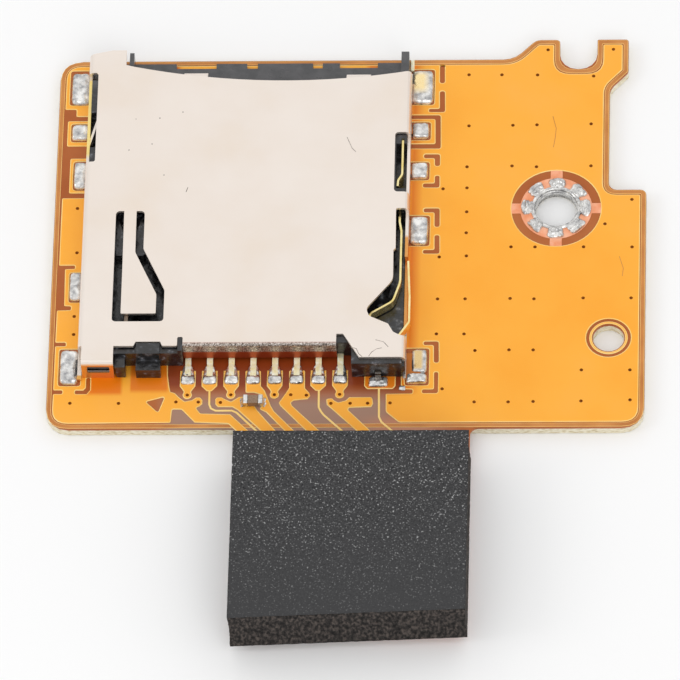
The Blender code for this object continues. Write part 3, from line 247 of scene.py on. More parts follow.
def blendTone(tree, shader, under, colour, limits):
    # another colour where each limit (axis, from here, fully there, in millimetres) is passed,
    # over what `under` gives, into the base colour
    place = tree.nodes.new("ShaderNodeTexCoord")
    axes = tree.nodes.new("ShaderNodeSeparateXYZ")
    tree.links.new(place.outputs["Object"], axes.inputs["Vector"])
    whole = None
    for axis, start, end in limits:
        share = tree.nodes.new("ShaderNodeMapRange")
        share.inputs["From Min"].default_value = start * mm
        share.inputs["From Max"].default_value = end * mm
        tree.links.new(axes.outputs[axis], share.inputs["Value"])
        if whole:
            both = tree.nodes.new("ShaderNodeMath")
            both.operation = "MULTIPLY"
            tree.links.new(whole, both.inputs[0])
            tree.links.new(share.outputs["Result"], both.inputs[1])
            whole = both.outputs["Value"]
        else:
            whole = share.outputs["Result"]
    mixer = tree.nodes.new("ShaderNodeMix")
    mixer.data_type = "RGBA"
    if isinstance(colour, tuple):
        mixer.inputs["B"].default_value = tone(*colour)
    else:
        tree.links.new(colour.outputs["Color"], mixer.inputs["B"])
    tree.links.new(whole, mixer.inputs["Factor"])
    colourOut = 2 if under.bl_idname == "ShaderNodeMix" else 0        # a Mix node's colour comes third
    tree.links.new(under.outputs[colourOut], mixer.inputs["A"])
    tree.links.new(mixer.outputs[2], shader.inputs["Base Color"])
    return mixer


def roughen(tree, shader, texture, low, high):
    # roughness from low to high along the pattern
    scale = tree.nodes.new("ShaderNodeMapRange")
    scale.inputs["To Min"].default_value = low
    scale.inputs["To Max"].default_value = high
    tree.links.new(texture.outputs["Fac"], scale.inputs["Value"])
    tree.links.new(scale.outputs["Result"], shader.inputs["Roughness"])


def relief(tree, shader, texture, height, strength=1.0, under=None):
    # relief of `height` millimetres
    bump = tree.nodes.new("ShaderNodeBump")
    bump.inputs["Strength"].default_value = strength
    bump.inputs["Distance"].default_value = height * mm
    tree.links.new(texture.outputs["Fac"], bump.inputs["Height"])
    if under:
        tree.links.new(under.outputs["Normal"], bump.inputs["Normal"])
    tree.links.new(bump.outputs["Normal"], shader.inputs["Normal"])
    return bump


# deeper tones where the film lies in the shade of the socket's rear blocks and side wall
filmShades = (
    ((236, 122, 0), (("X", -13.14, -12.98), ("X", -11.22, -11.40), ("Y", -3.40, -3.16))),
    ((232, 122, 0), (("X", -10.92, -10.82), ("X", -8.86, -9.06), ("Y", -3.26, -2.98))),
    ((234, 128, 10), (("X", 0.6, 0.9), ("X", 3.7, 3.2), ("Y", -3.45, -3.2))),
    ((250, 160, 40), (("X", 3.20, 3.02), ("X", 1.0, 2.0), ("Y", -2.4, -2.0))),
)


def makeFilmFinishes():
    tree, shader = newFinish("coverFilm", {"colour": (255, 176, 52), "rough": 0.34, "coat": 0.1, "shine": 0.35})
    clouds = spread(tree, 5.0, 4)
    plain = paint(tree, shader, clouds, [(0.30, (253, 168, 40)), (0.52, (255, 176, 52)),
            (0.75, (255, 178, 66))])
    for colour, limits in filmShades:
        plain = blendTone(tree, shader, plain, colour, limits)
    dust = spread(tree, 0.35, 5)
    roughen(tree, shader, dust, 0.22, 0.5)
    relief(tree, shader, spread(tree, 0.9, 3), 0.006, 0.5)

    # pale rim colour of the printed fields, a painted highlight along their edges; also the colour of the thin
    # printed lines
    tree, shader = newFinish("filmEdge", {"colour": (255, 214, 120), "rough": 0.3, "coat": 0.3})
    paint(tree, shader, spread(tree, 1.2, 2), [(0.3, (255, 206, 104)), (0.7, (255, 224, 146))])

    tree, shader = newFinish("bareFilm", {"colour": (172, 92, 34), "rough": 0.35, "coat": 0.1, "shine": 0.3})
    tint = spread(tree, 3.2, 3)
    plain = paint(tree, shader, tint, [(0.30, (166, 84, 28)), (0.5, (174, 92, 36)), (0.70, (182, 104, 50))])
    greyer = blendTone(tree, shader, plain, (164, 126, 106), (("Y", -2.9, -3.9), ("X", 3.2, 1.8),
            ("X", -9.6, -8.6)))
    # painted shade: deep reddish-brown between the contact tails, under the socket's rear
    shadeBetweenTails = blendTone(tree, shader, greyer, (138, 56, 16), (("Y", -3.35, -2.7), ("X", 3.2, 2.8),
            ("X", -9.3, -8.9)))
    blendTone(tree, shader, shadeBetweenTails, (192, 130, 98), (("Y", -4.5, -5.0), ("X", 0.6, 2.2), ("X", 6.0, 4.0)))
    relief(tree, shader, spread(tree, 0.22, 4), 0.004, 0.5)

    tree, shader = newFinish("edgeFilm", {"colour": (200, 126, 50), "rough": 0.4, "coat": 0.1})
    paint(tree, shader, spread(tree, 1.4, 4), [(0.3, (188, 114, 42)), (0.7, (212, 138, 62))])

    # dark centre of each via: painted shade standing in for the depth of its hole
    tree, shader = newFinish("viaHollow", {"colour": (70, 28, 6), "rough": 0.9, "shine": 0.05})
    paint(tree, shader, spread(tree, 0.12, 2), [(0.3, (92, 44, 12)), (0.7, (140, 78, 26))])

    tree, shader = newFinish("ringCopper", {"colour": (246, 168, 128), "rough": 0.42, "metal": 0.25})
    paint(tree, shader, spread(tree, 0.5, 4), [(0.3, (240, 150, 104)), (0.55, (250, 178, 140)),
            (0.75, (255, 196, 164))])
    roughen(tree, shader, spread(tree, 0.2, 3), 0.3, 0.55)

    tree, shader = newFinish("laminate", {"colour": (232, 224, 198), "rough": 0.7})
    strands = spread(tree, 0.25, 6, (1, 1, 3))
    paint(tree, shader, strands, [(0.28, (190, 168, 124)), (0.48, (230, 220, 192)), (0.7, (246, 240, 222))])
    relief(tree, shader, strands, 0.05, 0.8)


def makeMetalFinishes():
    tree, shader = newFinish("nickelSheet", {"colour": (236, 226, 214), "rough": 0.34, "metal": 0.82})
    smudge = spread(tree, 4.5, 5)
    rolled = paint(tree, shader, spread(tree, 0.07, 2), [(0.34, (84, 76, 70)), (0.48, (168, 158, 150)),
            (0.60, (204, 194, 186)), (0.70, (246, 244, 240))])
    plain = paint(tree, shader, smudge, [(0.32, (237, 224, 211)), (0.50, (239, 228, 218)),
            (0.68, (241, 231, 222))])
    rearWall = (("Y", -1.08, -1.18), ("X", -8.5, -8.3), ("X", -0.2, -0.4))
    # painted reflection: reddish-brown of the orange film on the rear wall, below its grey speckled upper band
    rearWallReflection = blendTone(tree, shader, plain, (176, 84, 44), rearWall)
    grey = blendTone(tree, shader, rearWallReflection, rolled, rearWall + (("Z", 1.36, 1.46),))
    # painted warm highlight along the upper part of the left side wall
    goldTone = blendTone(tree, shader, grey, (250, 222, 128), (("X", -13.24, -13.36), ("Y", 10.3, 10.6),
            ("Y", 15.2, 15.0), ("Z", 1.2, 1.6)))
    # painted reflection of the orange film on the low outer faces of the right feet
    feet = blendTone(tree, shader, goldTone, (188, 112, 52), (("X", 3.03, 3.07), ("Z", 0.95, 0.85)))
    # painted reflection of the orange board on the front face of the left rear leg
    leg = blendTone(tree, shader, feet, (234, 176, 94), (("X", -11.6, -11.7), ("Y", -2.2, -2.28),
            ("Z", 1.82, 1.72)))
    # painted reflection of the orange film on the lower strip of the right side wall
    blendTone(tree, shader, leg, (228, 162, 92), (("X", 2.80, 2.86), ("Z", 1.86, 1.80), ("Y", 0.3, 0.5),
            ("Y", 5.6, 5.4)))
    rub = spread(tree, 0.6, 4, (0.25, 1, 1))
    roughen(tree, shader, rub, 0.28, 0.46)
    scuffs = spread(tree, 0.10, 2, (0.35, 1, 1))
    relief(tree, shader, scuffs, 0.0015, 0.35)

    tree, shader = newFinish("contactGold", {"colour": (246, 228, 158), "rough": 0.22, "metal": 0.95})
    gilded = paint(tree, shader, spread(tree, 0.5, 3), [(0.3, (238, 214, 136)), (0.7, (252, 238, 182))])
    roughen(tree, shader, spread(tree, 0.15, 3), 0.14, 0.34)
    blendTone(tree, shader, gilded, (104, 98, 92), (("Y", -2.2, -2.34),))

    # a lighter, less metallic copy of the contact gold: painted highlight for the tails, also used on the other
    # small gilt pieces
    tree, shader = newFinish("tailGold", {"colour": (255, 246, 206), "rough": 0.42, "metal": 0.2, "coat": 0.2})
    paint(tree, shader, spread(tree, 0.2, 3), [(0.3, (250, 232, 168)), (0.55, (255, 248, 214)),
            (0.7, (255, 254, 240))])
    relief(tree, shader, spread(tree, 0.15, 2), 0.01, 0.5)

    for name in ("solderTin", "footSolder"):
        tree, shader = newFinish(name, {"colour": (222, 222, 220), "rough": 0.22, "metal": 0.92})
        grain = spread(tree, 0.30, 5)
        plain = paint(tree, shader, grain, [(0.30, (160, 160, 162)), (0.5, (214, 213, 211)),
                (0.66, (248, 247, 244))])
        roughen(tree, shader, spread(tree, 0.25, 3), 0.12, 0.42)
        fine = relief(tree, shader, spread(tree, 0.10, 4), 0.012, 0.6)
        relief(tree, shader, spread(tree, 0.38, 2), 0.055, 0.9, under=fine)
        if name == "footSolder":
            # the gilt sheet shows through the thin solder on two of the feet
            goldTone = blendTone(tree, shader, plain, (252, 228, 172), (("X", 3.0, 3.2), ("X", 3.95, 3.60),
                    ("Y", 14.6, 15.0), ("Y", 16.05, 15.75)))
            blendTone(tree, shader, goldTone, (228, 198, 142), (("X", 3.42, 3.5), ("X", 3.95, 3.8),
                    ("Y", -2.06, -1.9), ("Y", -0.82, -0.95)))

    tree, shader = newFinish("scuffLine", {"colour": (120, 108, 100), "rough": 0.5, "metal": 0.4})
    paint(tree, shader, spread(tree, 0.2, 3), [(0.4, (96, 84, 76)), (0.65, (190, 178, 168))])

    # darker and browner than bare steel: painted shade, as the pin and spring lie in the shadow under the cover
    tree, shader = newFinish("drawnSteel", {"colour": (132, 118, 106), "rough": 0.25, "metal": 1.0})
    roughen(tree, shader, spread(tree, 0.1, 3, (4, 0.4, 4)), 0.18, 0.4)


def makeMouldingFinishes():
    tree, shader = newFinish("blackMoulding", {"colour": (34, 34, 36), "rough": 0.3, "coat": 0.5})
    # the brightest grey-blue streaks in the base colour are painted highlights; the same pattern sets the roughness
    glossPattern = spread(tree, 0.34, 5)
    streakHighlights = paint(tree, shader, glossPattern, [(0.3, (12, 11, 12)), (0.52, (26, 25, 27)), (0.62, (54, 55, 60)),
            (0.70, (120, 122, 128)), (0.78, (176, 177, 182))])
    # lighter grey on the housing towards the front mouth
    greyerMouth = paint(tree, shader, spread(tree, 0.6, 4), [(0.35, (62, 62, 64)), (0.65, (78, 77, 79))])
    blendTone(tree, shader, streakHighlights, greyerMouth, (("Y", 14.2, 14.7),))
    roughen(tree, shader, glossPattern, 0.14, 0.5)
    fine = relief(tree, shader, spread(tree, 0.08, 3), 0.006, 0.6)
    relief(tree, shader, spread(tree, 0.45, 2), 0.10, 0.9, under=fine)

    tree, shader = newFinish("ceramicBody", {"colour": (140, 112, 90), "rough": 0.5})
    grain = spread(tree, 0.05, 4)
    paint(tree, shader, grain, [(0.3, (120, 96, 78)), (0.7, (164, 134, 106))])
    relief(tree, shader, grain, 0.004, 0.6)

    tree, shader = newFinish("openFoam", {"colour": (64, 64, 65), "rough": 0.95, "shine": 0.2})
    # the brightest specks are painted glints on the foam's cell walls
    cells = spread(tree, 0.088, 1.2)
    sparkle = paint(tree, shader, cells, [(0.25, (34, 34, 35)), (0.40, (60, 60, 61)),
            (0.61, (70, 70, 71)), (0.68, (124, 124, 124)), (0.75, (190, 190, 190))])
    blendTone(tree, shader, sparkle, (66, 66, 67), (("Y", -10.0, -19.5),))
    relief(tree, shader, spread(tree, 0.16, 2), 0.04, 0.6)

    tree, shader = newFinish("cutFoam", {"colour": (70, 66, 64), "rough": 0.95, "shine": 0.2})
    pores = spread(tree, 0.15, 4, (1, 1, 0.5))
    paint(tree, shader, pores, [(0.34, (26, 24, 23)), (0.5, (52, 48, 46)), (0.68, (88, 80, 75))])
    relief(tree, shader, pores, 0.08, 0.9)


makeFilmFinishes()
makeMetalFinishes()
makeMouldingFinishes()
print("finishes made:", len(finishes))


view = {
    "aim": (-0.33, -0.10, 0.60),
    "distance": 534.1,
    "lens": 559.06,
    "toward": (0.05148, -0.52975, 0.84659),
    "right": (0.99867, 0.02351, -0.04602),
    "up": (0.00448, 0.84783, 0.53026),
}


def placeCamera():
    data = bpy.data.cameras.new("photoView")
    data.lens = view["lens"]
    data.sensor_width = 36
    data.clip_start, data.clip_end = 0.01, 5
    camera = bpy.data.objects.new("photoView", data)
    bpy.context.scene.collection.objects.link(camera)
    toward = Vector(view["toward"])
    place = Matrix((view["right"], view["up"], toward)).transposed().to_4x4()
    place.translation = (Vector(view["aim"]) + toward * view["distance"]) * mm
    camera.matrix_world = place
    bpy.context.scene.camera = camera


studio = {
    "floorSide": 3000,
    "sky": 0.86,
    "lamps": (
        # name, azimuth, elevation, distance, side, power
        ("overhead", 180, 60, 260, 300, 0.04),
        ("front", 20, 40, 300, 160, 0.12),
        ("left", -80, 35, 260, 90, 0.06),
    ),
}


def lightStudio():
    clearSelection()
    bpy.ops.mesh.primitive_plane_add(size=studio["floorSide"] * mm, location=(0, 0, -0.02 * mm))
    floor = bpy.context.object
    floor.name = "studioFloor"
    newFinish("paperFloor", {"colour": (250, 250, 250), "rough": 0.9})
    floor.data.materials.append(finishes["paperFloor"])
    world = bpy.data.worlds.new("studioSky")
    bpy.context.scene.world = world
    world.use_nodes = True
    sky = world.node_tree.nodes["Background"]
    sky.inputs["Color"].default_value = (1, 1, 1, 1)
    sky.inputs["Strength"].default_value = studio["sky"]
    for name, azimuth, elevation, distance, side, power in studio["lamps"]:
        a, e = math.radians(azimuth), math.radians(elevation)
        toward = Vector((math.sin(a) * math.cos(e), -math.cos(a) * math.cos(e), math.sin(e)))
        lamp = bpy.data.lights.new(name, "AREA")
        lamp.shape = "SQUARE"
        lamp.size = side * mm
        lamp.energy = power
        holder = bpy.data.objects.new(name, lamp)
        holder.location = toward * distance * mm
        holder.rotation_mode = "QUATERNION"
        holder.rotation_quaternion = toward.to_track_quat("Z", "Y")
        bpy.context.scene.collection.objects.link(holder)
    bpy.context.scene.view_settings.view_transform = "Standard"


placeCamera()
lightStudio()
print("camera, light and floor placed")


film = {
    "rise": 0.022,       # how far the covered copper stands above the bare film
    "edge": 0.05,        # width of the lighter rim round each field, a painted highlight
    "border": 0.30,      # bare film along the board's edge
    "corner": 0.10,
    "nick": 0.08,        # radius at the small steps of the left field
    "pad": 0.14,         # and of the gaps round the pads
    "via": 0.09,
    "line": 0.11,        # width of a thin printed line
    "under": 2.45,       # the right field ends here, under the cover
    "cover": -12.95,     # and the left one here
}
screwHole = {"x": 10.51, "y": 7.75, "hole": 1.1}
alignHole = {"x": 13.25, "y": -0.04, "hole": 0.8, "ring": 0.98, "gap": 1.13}

screwRing = {"copper": 1.84, "bridge": 0.62, "outer": 2.28, "lip": 1.20, "lipThick": 0.11, "spots": 8,
             "from": 1.14, "to": 1.80, "halfTurn": 0.30, "high": 0.15, "ridges": 2.6, "ridge": 0.05,
             "barrel": 1.085, "barrelWall": 0.03, "barrelFoot": 0.06}

boardCorners = [
    (-15.09, -5.32, 1.15), (15.09, -5.32, 1.15), (15.09, 8.86, 0.30), (13.17, 8.86, 0.42),
    (13.17, 15.03, 0.80), (14.11, 16.06, 0.25), (14.11, 18.05, 0.15), (12.51, 18.05, 0.08),
    (12.51, 16.25, 0.96), (10.59, 16.25, 0.96), (10.59, 18.05, 0.20), (9.36, 18.05, 0.60),
    (8.23, 16.86, 1.30), (-15.09, 16.86, 1.15),
]

rightGaps = {
    "upperA": [(4.43, 16.50), (4.67, 16.50), (4.69, 15.43), (4.44, 15.43)],
    "upperB": [(4.45, 14.92), (4.70, 14.92), (4.73, 13.65), (3.91, 13.66), (3.91, 13.84), (4.47, 13.84)],
    "secondBox": [(2.70, 13.46), (4.51, 13.45), (4.55, 11.42), (2.70, 11.43), (2.70, 11.69), (4.29, 11.69),
                  (4.26, 13.23), (2.70, 13.24)],
    "thirdA": [(3.71, 11.07), (4.52, 11.06), (4.53, 10.36), (4.28, 10.36), (4.27, 10.84), (3.71, 10.84)],
    "thirdB": [(4.29, 9.76), (4.52, 9.76), (4.53, 9.05), (3.69, 9.06), (3.69, 9.29), (4.30, 9.29)],
    "fourthA": [(3.76, 7.78), (4.56, 7.78), (4.58, 6.67), (4.33, 6.67), (4.32, 7.55), (3.76, 7.55)],
    "fourthB": [(4.34, 6.16), (4.58, 6.16), (4.60, 5.05), (3.77, 5.06), (3.77, 5.27), (4.36, 5.27)],
    "fifthA": [(3.91, -0.22), (4.66, -0.22), (4.69, -1.47), (4.45, -1.47), (4.43, -0.42), (3.91, -0.42)],
    "fifthB": [(4.47, -2.04), (4.67, -2.04), (4.68, -3.28), (3.88, -3.28), (3.88, -3.07), (4.49, -3.07)],
}

leftGaps = {
    "hook": [(-13.66, -3.04), (-13.24, -3.05), (-13.11, -2.89), (-13.11, -2.30), (-12.91, -2.30),
             (-12.90, -3.02), (-13.07, -3.25), (-13.66, -3.25)],
    "arrow": [(-10.05, -3.73), (-9.12, -3.45), (-9.42, -4.36)],
}

# outer edge of the left field, from its back end to the board's corner
leftEdge = [
    (-14.75, 8.51), (-14.75, 4.43), (-13.93, 4.43), (-13.93, 4.24), (-14.44, 4.22), (-14.40, 2.0), (-14.05, 1.98),
    (-14.05, 1.76), (-14.76, 1.74), (-14.77, -0.19), (-14.23, -0.19), (-14.23, -0.40), (-14.77, -0.40),
    (-14.77, -3.03), (-14.30, -3.03), (-14.30, -3.24), (-14.77, -3.24),
]

# gaps round the soldered pads: x0, x1, y0, y1
padGaps = {
    "left1": (-14.56, -13.2, 14.18, 16.27), "left2": (-14.42, -13.2, 11.93, 13.01),
    "left3": (-14.22, -13.2, 8.97, 10.72), "left4": (-14.18, -13.2, 2.21, 3.99),
    "left5": (-14.53, -13.42, -2.77, -0.61),
    "right1": (2.9, 4.17, 14.10, 16.24), "right2": (2.7, 4.02, 11.94, 13.02),
    "right3": (2.7, 4.00, 9.50, 10.58), "right4": (2.7, 4.08, 5.52, 7.33),
    "right5": (3.0, 4.20, -2.82, -0.64),
}

lines = {
    "left": [(-9.02, -0.5), (-9.02, -1.13), (-8.99, -2.14), (-8.90, -2.79), (-8.83, -3.14), (-8.60, -3.22),
             (-8.38, -3.47), (-8.09, -3.72), (-7.73, -3.64), (-7.52, -3.48), (-7.31, -3.48), (-7.19, -3.65),
             (-7.19, -3.89), (-7.33, -4.02), (-7.51, -4.10), (-7.28, -4.43), (-5.76, -4.48), (-4.60, -5.70),
             (-5.23, -5.70), (-5.86, -5.06), (-7.55, -4.97), (-8.23, -4.20), (-8.71, -4.19), (-8.76, -4.98)],
    "chipLeft": [(-6.55, -3.57), (-6.46, -3.48), (-6.22, -3.48), (-6.07, -3.58), (-5.75, -3.74),
                 (-5.36, -3.46), (-5.00, -3.44), (-4.75, -3.47), (-4.62, -3.88), (-4.40, -4.26),
                 (-3.23, -5.74), (-3.96, -5.74), (-5.38, -4.26), (-5.66, -4.07), (-6.41, -4.06), (-6.54, -3.90)],
    "fourth": [(-5.07, -1.9), (-5.03, -3.22), (-4.60, -3.22), (-4.21, -3.36), (-4.04, -3.72), (-4.08, -3.94),
               (-4.34, -4.17), (-3.95, -4.40), (-2.80, -5.72), (-2.29, -5.72), (-3.56, -4.31), (-3.73, -3.99),
               (-3.89, -3.54), (-4.06, -3.09), (-4.26, -2.82), (-4.28, -1.9)],
    "sixth": [(-2.86, -1.9), (-2.84, -2.94), (-3.01, -3.27), (-3.34, -3.82), (-3.26, -4.00), (-1.71, -5.72),
              (-1.01, -5.72), (-2.65, -4.00), (-2.73, -3.82), (-2.57, -3.69), (-1.88, -3.62), (-1.75, -3.42),
              (-1.81, -3.23), (-2.03, -2.95), (-2.05, -1.9)],
    "bus": [(-0.95, -3.60), (-0.65, -3.56), (-0.53, -3.70), (-0.33, -3.81), (-0.20, -3.77), (0.05, -3.69),
            (0.21, -3.50), (1.34, -3.50), (1.40, -3.65), (1.43, -3.90), (1.35, -4.10), (0.22, -4.14),
            (0.18, -4.26), (1.54, -5.72), (0.84, -5.72), (-0.74, -4.12), (-0.91, -3.96)],
    "detect": [(0.95, -2.0), (0.95, -2.85), (1.10, -3.03), (2.40, -3.03), (2.54, -2.85), (2.54, -2.0)],
}
thinLines = {
    "second": [(-6.86, -2.9), (-6.84, -3.90), (-6.75, -4.14), (-6.51, -4.27), (-5.69, -4.27), (-5.45, -4.39),
               (-4.19, -5.72)],
    "seventh": [(-1.33, -2.9), (-1.31, -4.09), (-1.20, -4.33), (-1.05, -4.55), (0.12, -5.72)],
    "detectLine": [(1.70, -2.9), (1.74, -4.68), (1.87, -4.98), (2.64, -5.72)],
}
contactPads = {"first": -7.97, "pitch": 1.10, "half": 0.40, "ringed": (0, 2, 4, 7), "ringY": -3.34, "ring": 0.24,
               "hole": 0.10, "back": -1.9, "shoulder": -2.82, "neck": -3.12, "wideNeck": 0.20, "thinNeck": 0.12}

vias = [
    (5.93, 15.92), (7.62, 15.91), (9.45, 15.89), (12.33, 15.80), (5.98, 12.79), (8.23, 12.81), (9.46, 12.83),
    (12.23, 12.87), (4.72, 8.96), (5.92, 10.29), (8.22, 10.33), (9.47, 10.27), (12.25, 10.31), (5.94, 9.01),
    (5.95, 7.56), (5.95, 6.29), (14.36, 8.26), (13.0, 6.79), (4.60, 4.84), (5.98, 4.90), (8.24, 5.43),
    (9.46, 5.42), (11.93, 5.41), (14.39, 5.39), (4.56, 2.32), (5.96, 2.32), (8.24, 2.33), (9.45, 2.30),
    (11.94, 2.34), (14.37, 2.33), (4.54, 0.23), (5.94, 0.22), (6.51, -0.77), (8.23, -0.74), (9.45, -0.75),
    (11.90, -1.95), (14.35, -1.96), (4.89, -3.04), (6.52, -3.82), (8.23, -3.83), (9.49, -3.81),
    (11.90, -3.79), (14.37, -3.74), (2.28, -3.86), (-13.89, -3.80), (-11.43, -3.82), (-8.53, -3.75),
    (9.97, 17.43), (13.33, 17.44), (-13.93, 7.88), (-13.86, 5.20), (-13.86, 1.37),
    (-13.85, 0.29), (-7.40, -3.76), (-6.28, -3.79), (-2.74, -3.35), (-1.95, -3.38), (-0.70, -3.87),
    (0.27, -3.87), (1.15, -3.87),
]


def cutFilm(name, outlines, finish="coverFilm", edge=film["edge"], rise=film["rise"], level=boardTop):
    # flat outlines (holes among them) to a thin sheet with a lighter rounded rim (a painted highlight), half sunk
    # in the board
    curve = bpy.data.curves.new(name, "CURVE")
    curve.dimensions = "2D"
    curve.fill_mode = "BOTH"
    curve.bevel_depth = edge
    curve.bevel_resolution = 1
    curve.offset = -edge
    for points in outlines:
        spline = curve.splines.new("POLY")
        spline.points.add(len(points) - 1)
        for point, (x, y) in zip(spline.points, points):
            point.co = (x, y, 0, 1)
        spline.use_cyclic_u = True
    piece = bpy.data.objects.new(name, curve)
    piece.location = (0, 0, level * mm)
    piece.scale = (mm, mm, mm * rise / edge)
    bpy.context.scene.collection.objects.link(piece)
    pickOnly(piece)
    bpy.ops.object.convert(target="MESH")
    piece = bpy.context.object
    bpy.ops.object.transform_apply(location=True, rotation=True, scale=True)
    closeUp(piece, 0.0005)
    piece.data.materials.append(finishes[finish])
    piece.data.materials.append(finishes["filmEdge"])
    for face in piece.data.polygons:
        face.material_index = 0 if abs(face.normal.z) > 0.995 else 1
    return settle(piece, None)


def roundedGaps(gaps, radius=0.12):
    return [evenCorners(points, radius) for points in gaps.values()]


def printBoard():
    inner = shrink(boardCorners, film["border"])
    viaHoles = {place: disc(*place, film["via"], 10) for place in vias}

    under, cover = film["under"], film["cover"]
    right = [(2.05, -3.31, 0.08), (2.07, -4.39, 0.3), (2.75, inner[1][1], 0.3)] + inner[1:13]
    right += [(-11.4, inner[12][1], 0), (-11.4, 16.2, 0), (under, 16.2, 0), (under, -1.0, 0),
              (2.80, -1.3, 0), (2.80, -2.8, 0.1), (3.02, -3.05, 0.08), (3.40, -3.07, 0.08), (3.40, -3.30, 0.08)]
    pads = [box(*place, film["pad"]) for name, place in padGaps.items() if name.startswith("right")]
    holes = [hole for (x, y), hole in viaHoles.items() if x > 4.4 or (x > 2.2 and y < -3.7)]
    rings = [disc(screwHole["x"], screwHole["y"], screwRing["outer"], 48),
             disc(alignHole["x"], alignHole["y"], alignHole["gap"], 32)]
    cutFilm("fieldRight", [softCorners(right)] + roundedGaps(rightGaps) + pads + holes + rings)

    left = [(cover, leftEdge[0][1], 0)] + [(x, y, film["nick"]) for x, y in leftEdge] + [inner[0]]
    left += [(x, y, film["corner"]) for x, y in reversed(lines["left"])]
    left += [(cover, -0.5, 0)]
    pads = [box(*padGaps[name], film["pad"]) for name in ("left4", "left5")]
    holes = [hole for (x, y), hole in viaHoles.items() if x < -7.0]
    cutFilm("fieldLeft", [softCorners(left)] + roundedGaps(leftGaps, film["nick"]) + pads + holes)

    corner = [(cover, inner[13][1], 0), (-14.78, inner[13][1], 0.8), (-14.78, 13.91, 0.08),
              (-14.2, 13.91, 0.08), (-14.2, 13.47, 0.08), (cover, 13.47, 0)]
    cutFilm("fieldCorner", [softCorners(corner), box(*padGaps["left1"], film["pad"])])
    cutFilm("fieldSecond", [box(-14.62, cover, 11.66, 13.21, 0.1), box(*padGaps["left2"], film["pad"])])
    cutFilm("fieldThird", [box(-14.41, cover, 8.80, 10.92, 0.1), box(*padGaps["left3"], 0.2)])

    marked = []
    for name in ("chipLeft", "fourth", "sixth", "bus", "detect"):
        marked.append(evenCorners(lines[name], film["corner"]))
    pad = contactPads
    for index in range(8):
        x = pad["first"] + index * pad["pitch"]
        neck = pad["wideNeck"] if index in pad["ringed"] else pad["thinNeck"]
        left = [(x - pad["half"], pad["back"]), (x - pad["half"], pad["shoulder"]), (x - neck, pad["neck"])]
        right = [(2 * x - cornerX, cornerY) for cornerX, cornerY in reversed(left)]
        if index in pad["ringed"]:
            marked.append(left + disc(x, pad["ringY"], pad["ring"], 12, 145, 250) + right)
            marked.append(disc(x, pad["ringY"], pad["hole"], 10))
        elif index in (1, 6):
            marked.append(left + right)
    marked += [hole for (x, y), hole in viaHoles.items() if -7.0 < x < 2.0 and y < -3]
    cutFilm("contactLines", marked)
    thin = [strip(path, film["line"]) for path in thinLines.values()]
    cutFilm("thinLines", thin, "filmEdge", 0.02, film["rise"] * 0.8)
    band = shrink(boardCorners, 0.03)
    cutFilm("boardBorder", [softCorners(band), softCorners(shrink(boardCorners, film["border"] - 0.05))],
            "edgeFilm", 0.02, 0.008)


printBoard()
print("printed fields made")


viaShape = {"rings": ((0.0, 0.003), (0.065, 0.004), (0.09, 0.016), (0.12, 0.030), (0.17, 0.022)),
            "dark": 0.095, "sides": 12}


def makeViaRings():
    clearSelection()
    bpy.ops.mesh.primitive_circle_add(vertices=viaShape["sides"], radius=viaShape["rings"][-1][0] * mm,
            fill_type="NOTHING")
    model = bpy.context.object
    bpy.ops.object.mode_set(mode="EDIT")
    bpy.ops.mesh.select_all(action="SELECT")
    steps = list(reversed(viaShape["rings"]))
    bpy.ops.transform.translate(value=(0, 0, steps[0][1] * mm))
    for (wide, high), (narrow, low) in zip(steps, steps[1:]):
        bpy.ops.mesh.extrude_edges_move(TRANSFORM_OT_translate={"value": (0, 0, (low - high) * mm)})
        share = max(narrow, 0.002) / wide
        bpy.ops.transform.resize(value=(share, share, 1), center_override=(0, 0, low * mm))
    closeUp(model, 0.003)
    model.data.materials.append(finishes["coverFilm"])
    model.data.materials.append(finishes["viaHollow"])
    for face in model.data.polygons:
        face.use_smooth = True
        face.material_index = 1 if face.center.xy.length < viaShape["dark"] * mm else 0
    places = list(vias)
    places += [(contactPads["first"] + index * contactPads["pitch"], contactPads["ringY"])
               for index in contactPads["ringed"]]
    copies = []
    for x, y in places:
        copy = model.copy()
        copy.data = model.data.copy()
        copy.location = (x * mm, y * mm, boardTop * mm)
        bpy.context.scene.collection.objects.link(copy)
        copies.append(copy)
    bpy.data.objects.remove(model)
    settle(joined(copies, "viaHollows"), None)


makeViaRings()
print("via hollows made:", len(vias))


def ringLump(x, y, index, seeded):
    # one crinkled solder lump between the lip and the copper's edge, its creases running round the hole
    lump = fineCube()
    middle = math.radians(index * 360 / screwRing["spots"] + 90) + seeded.uniform(-0.05, 0.05)
    far = screwRing["to"] + seeded.uniform(-0.05, 0.03)
    wide = screwRing["halfTurn"] * seeded.uniform(0.9, 1.08)
    for corner in lump.data.vertices:
        u, v, share = corner.co.x, corner.co.y, (corner.co.z + 1) / 2
        ragged = noise.noise(Vector((u * 1.6, v * 1.6, index * 4.3)))
        angle = middle + wide * u * (1 - 0.14 * v ** 4 + 0.16 * ragged)
        outwards = (v * (1 - 0.14 * u ** 4 + 0.10 * ragged) + 1) / 2
        radius = screwRing["from"] + (far - screwRing["from"]) * outwards
        rim = math.sqrt(max(1 - u ** 6, 0)) * math.sqrt(max(1 - v ** 8, 0))
        bend = 0.55 * noise.noise(Vector((u * 1.8, index * 2.7, v)))
        crease = math.sin(math.pi * screwRing["ridges"] * (v + bend))
        crumple = noise.noise(Vector((u * 2.6, v * 3.4, index * 6.1)))
        high = 0.015 + rim * (screwRing["high"] + screwRing["ridge"] * crease + 0.07 * crumple)
        corner.co = Vector((x + radius * math.cos(angle), y + radius * math.sin(angle),
                            boardTop - 0.02 + share * (max(high, 0.015) + 0.02))) * mm
    return lump


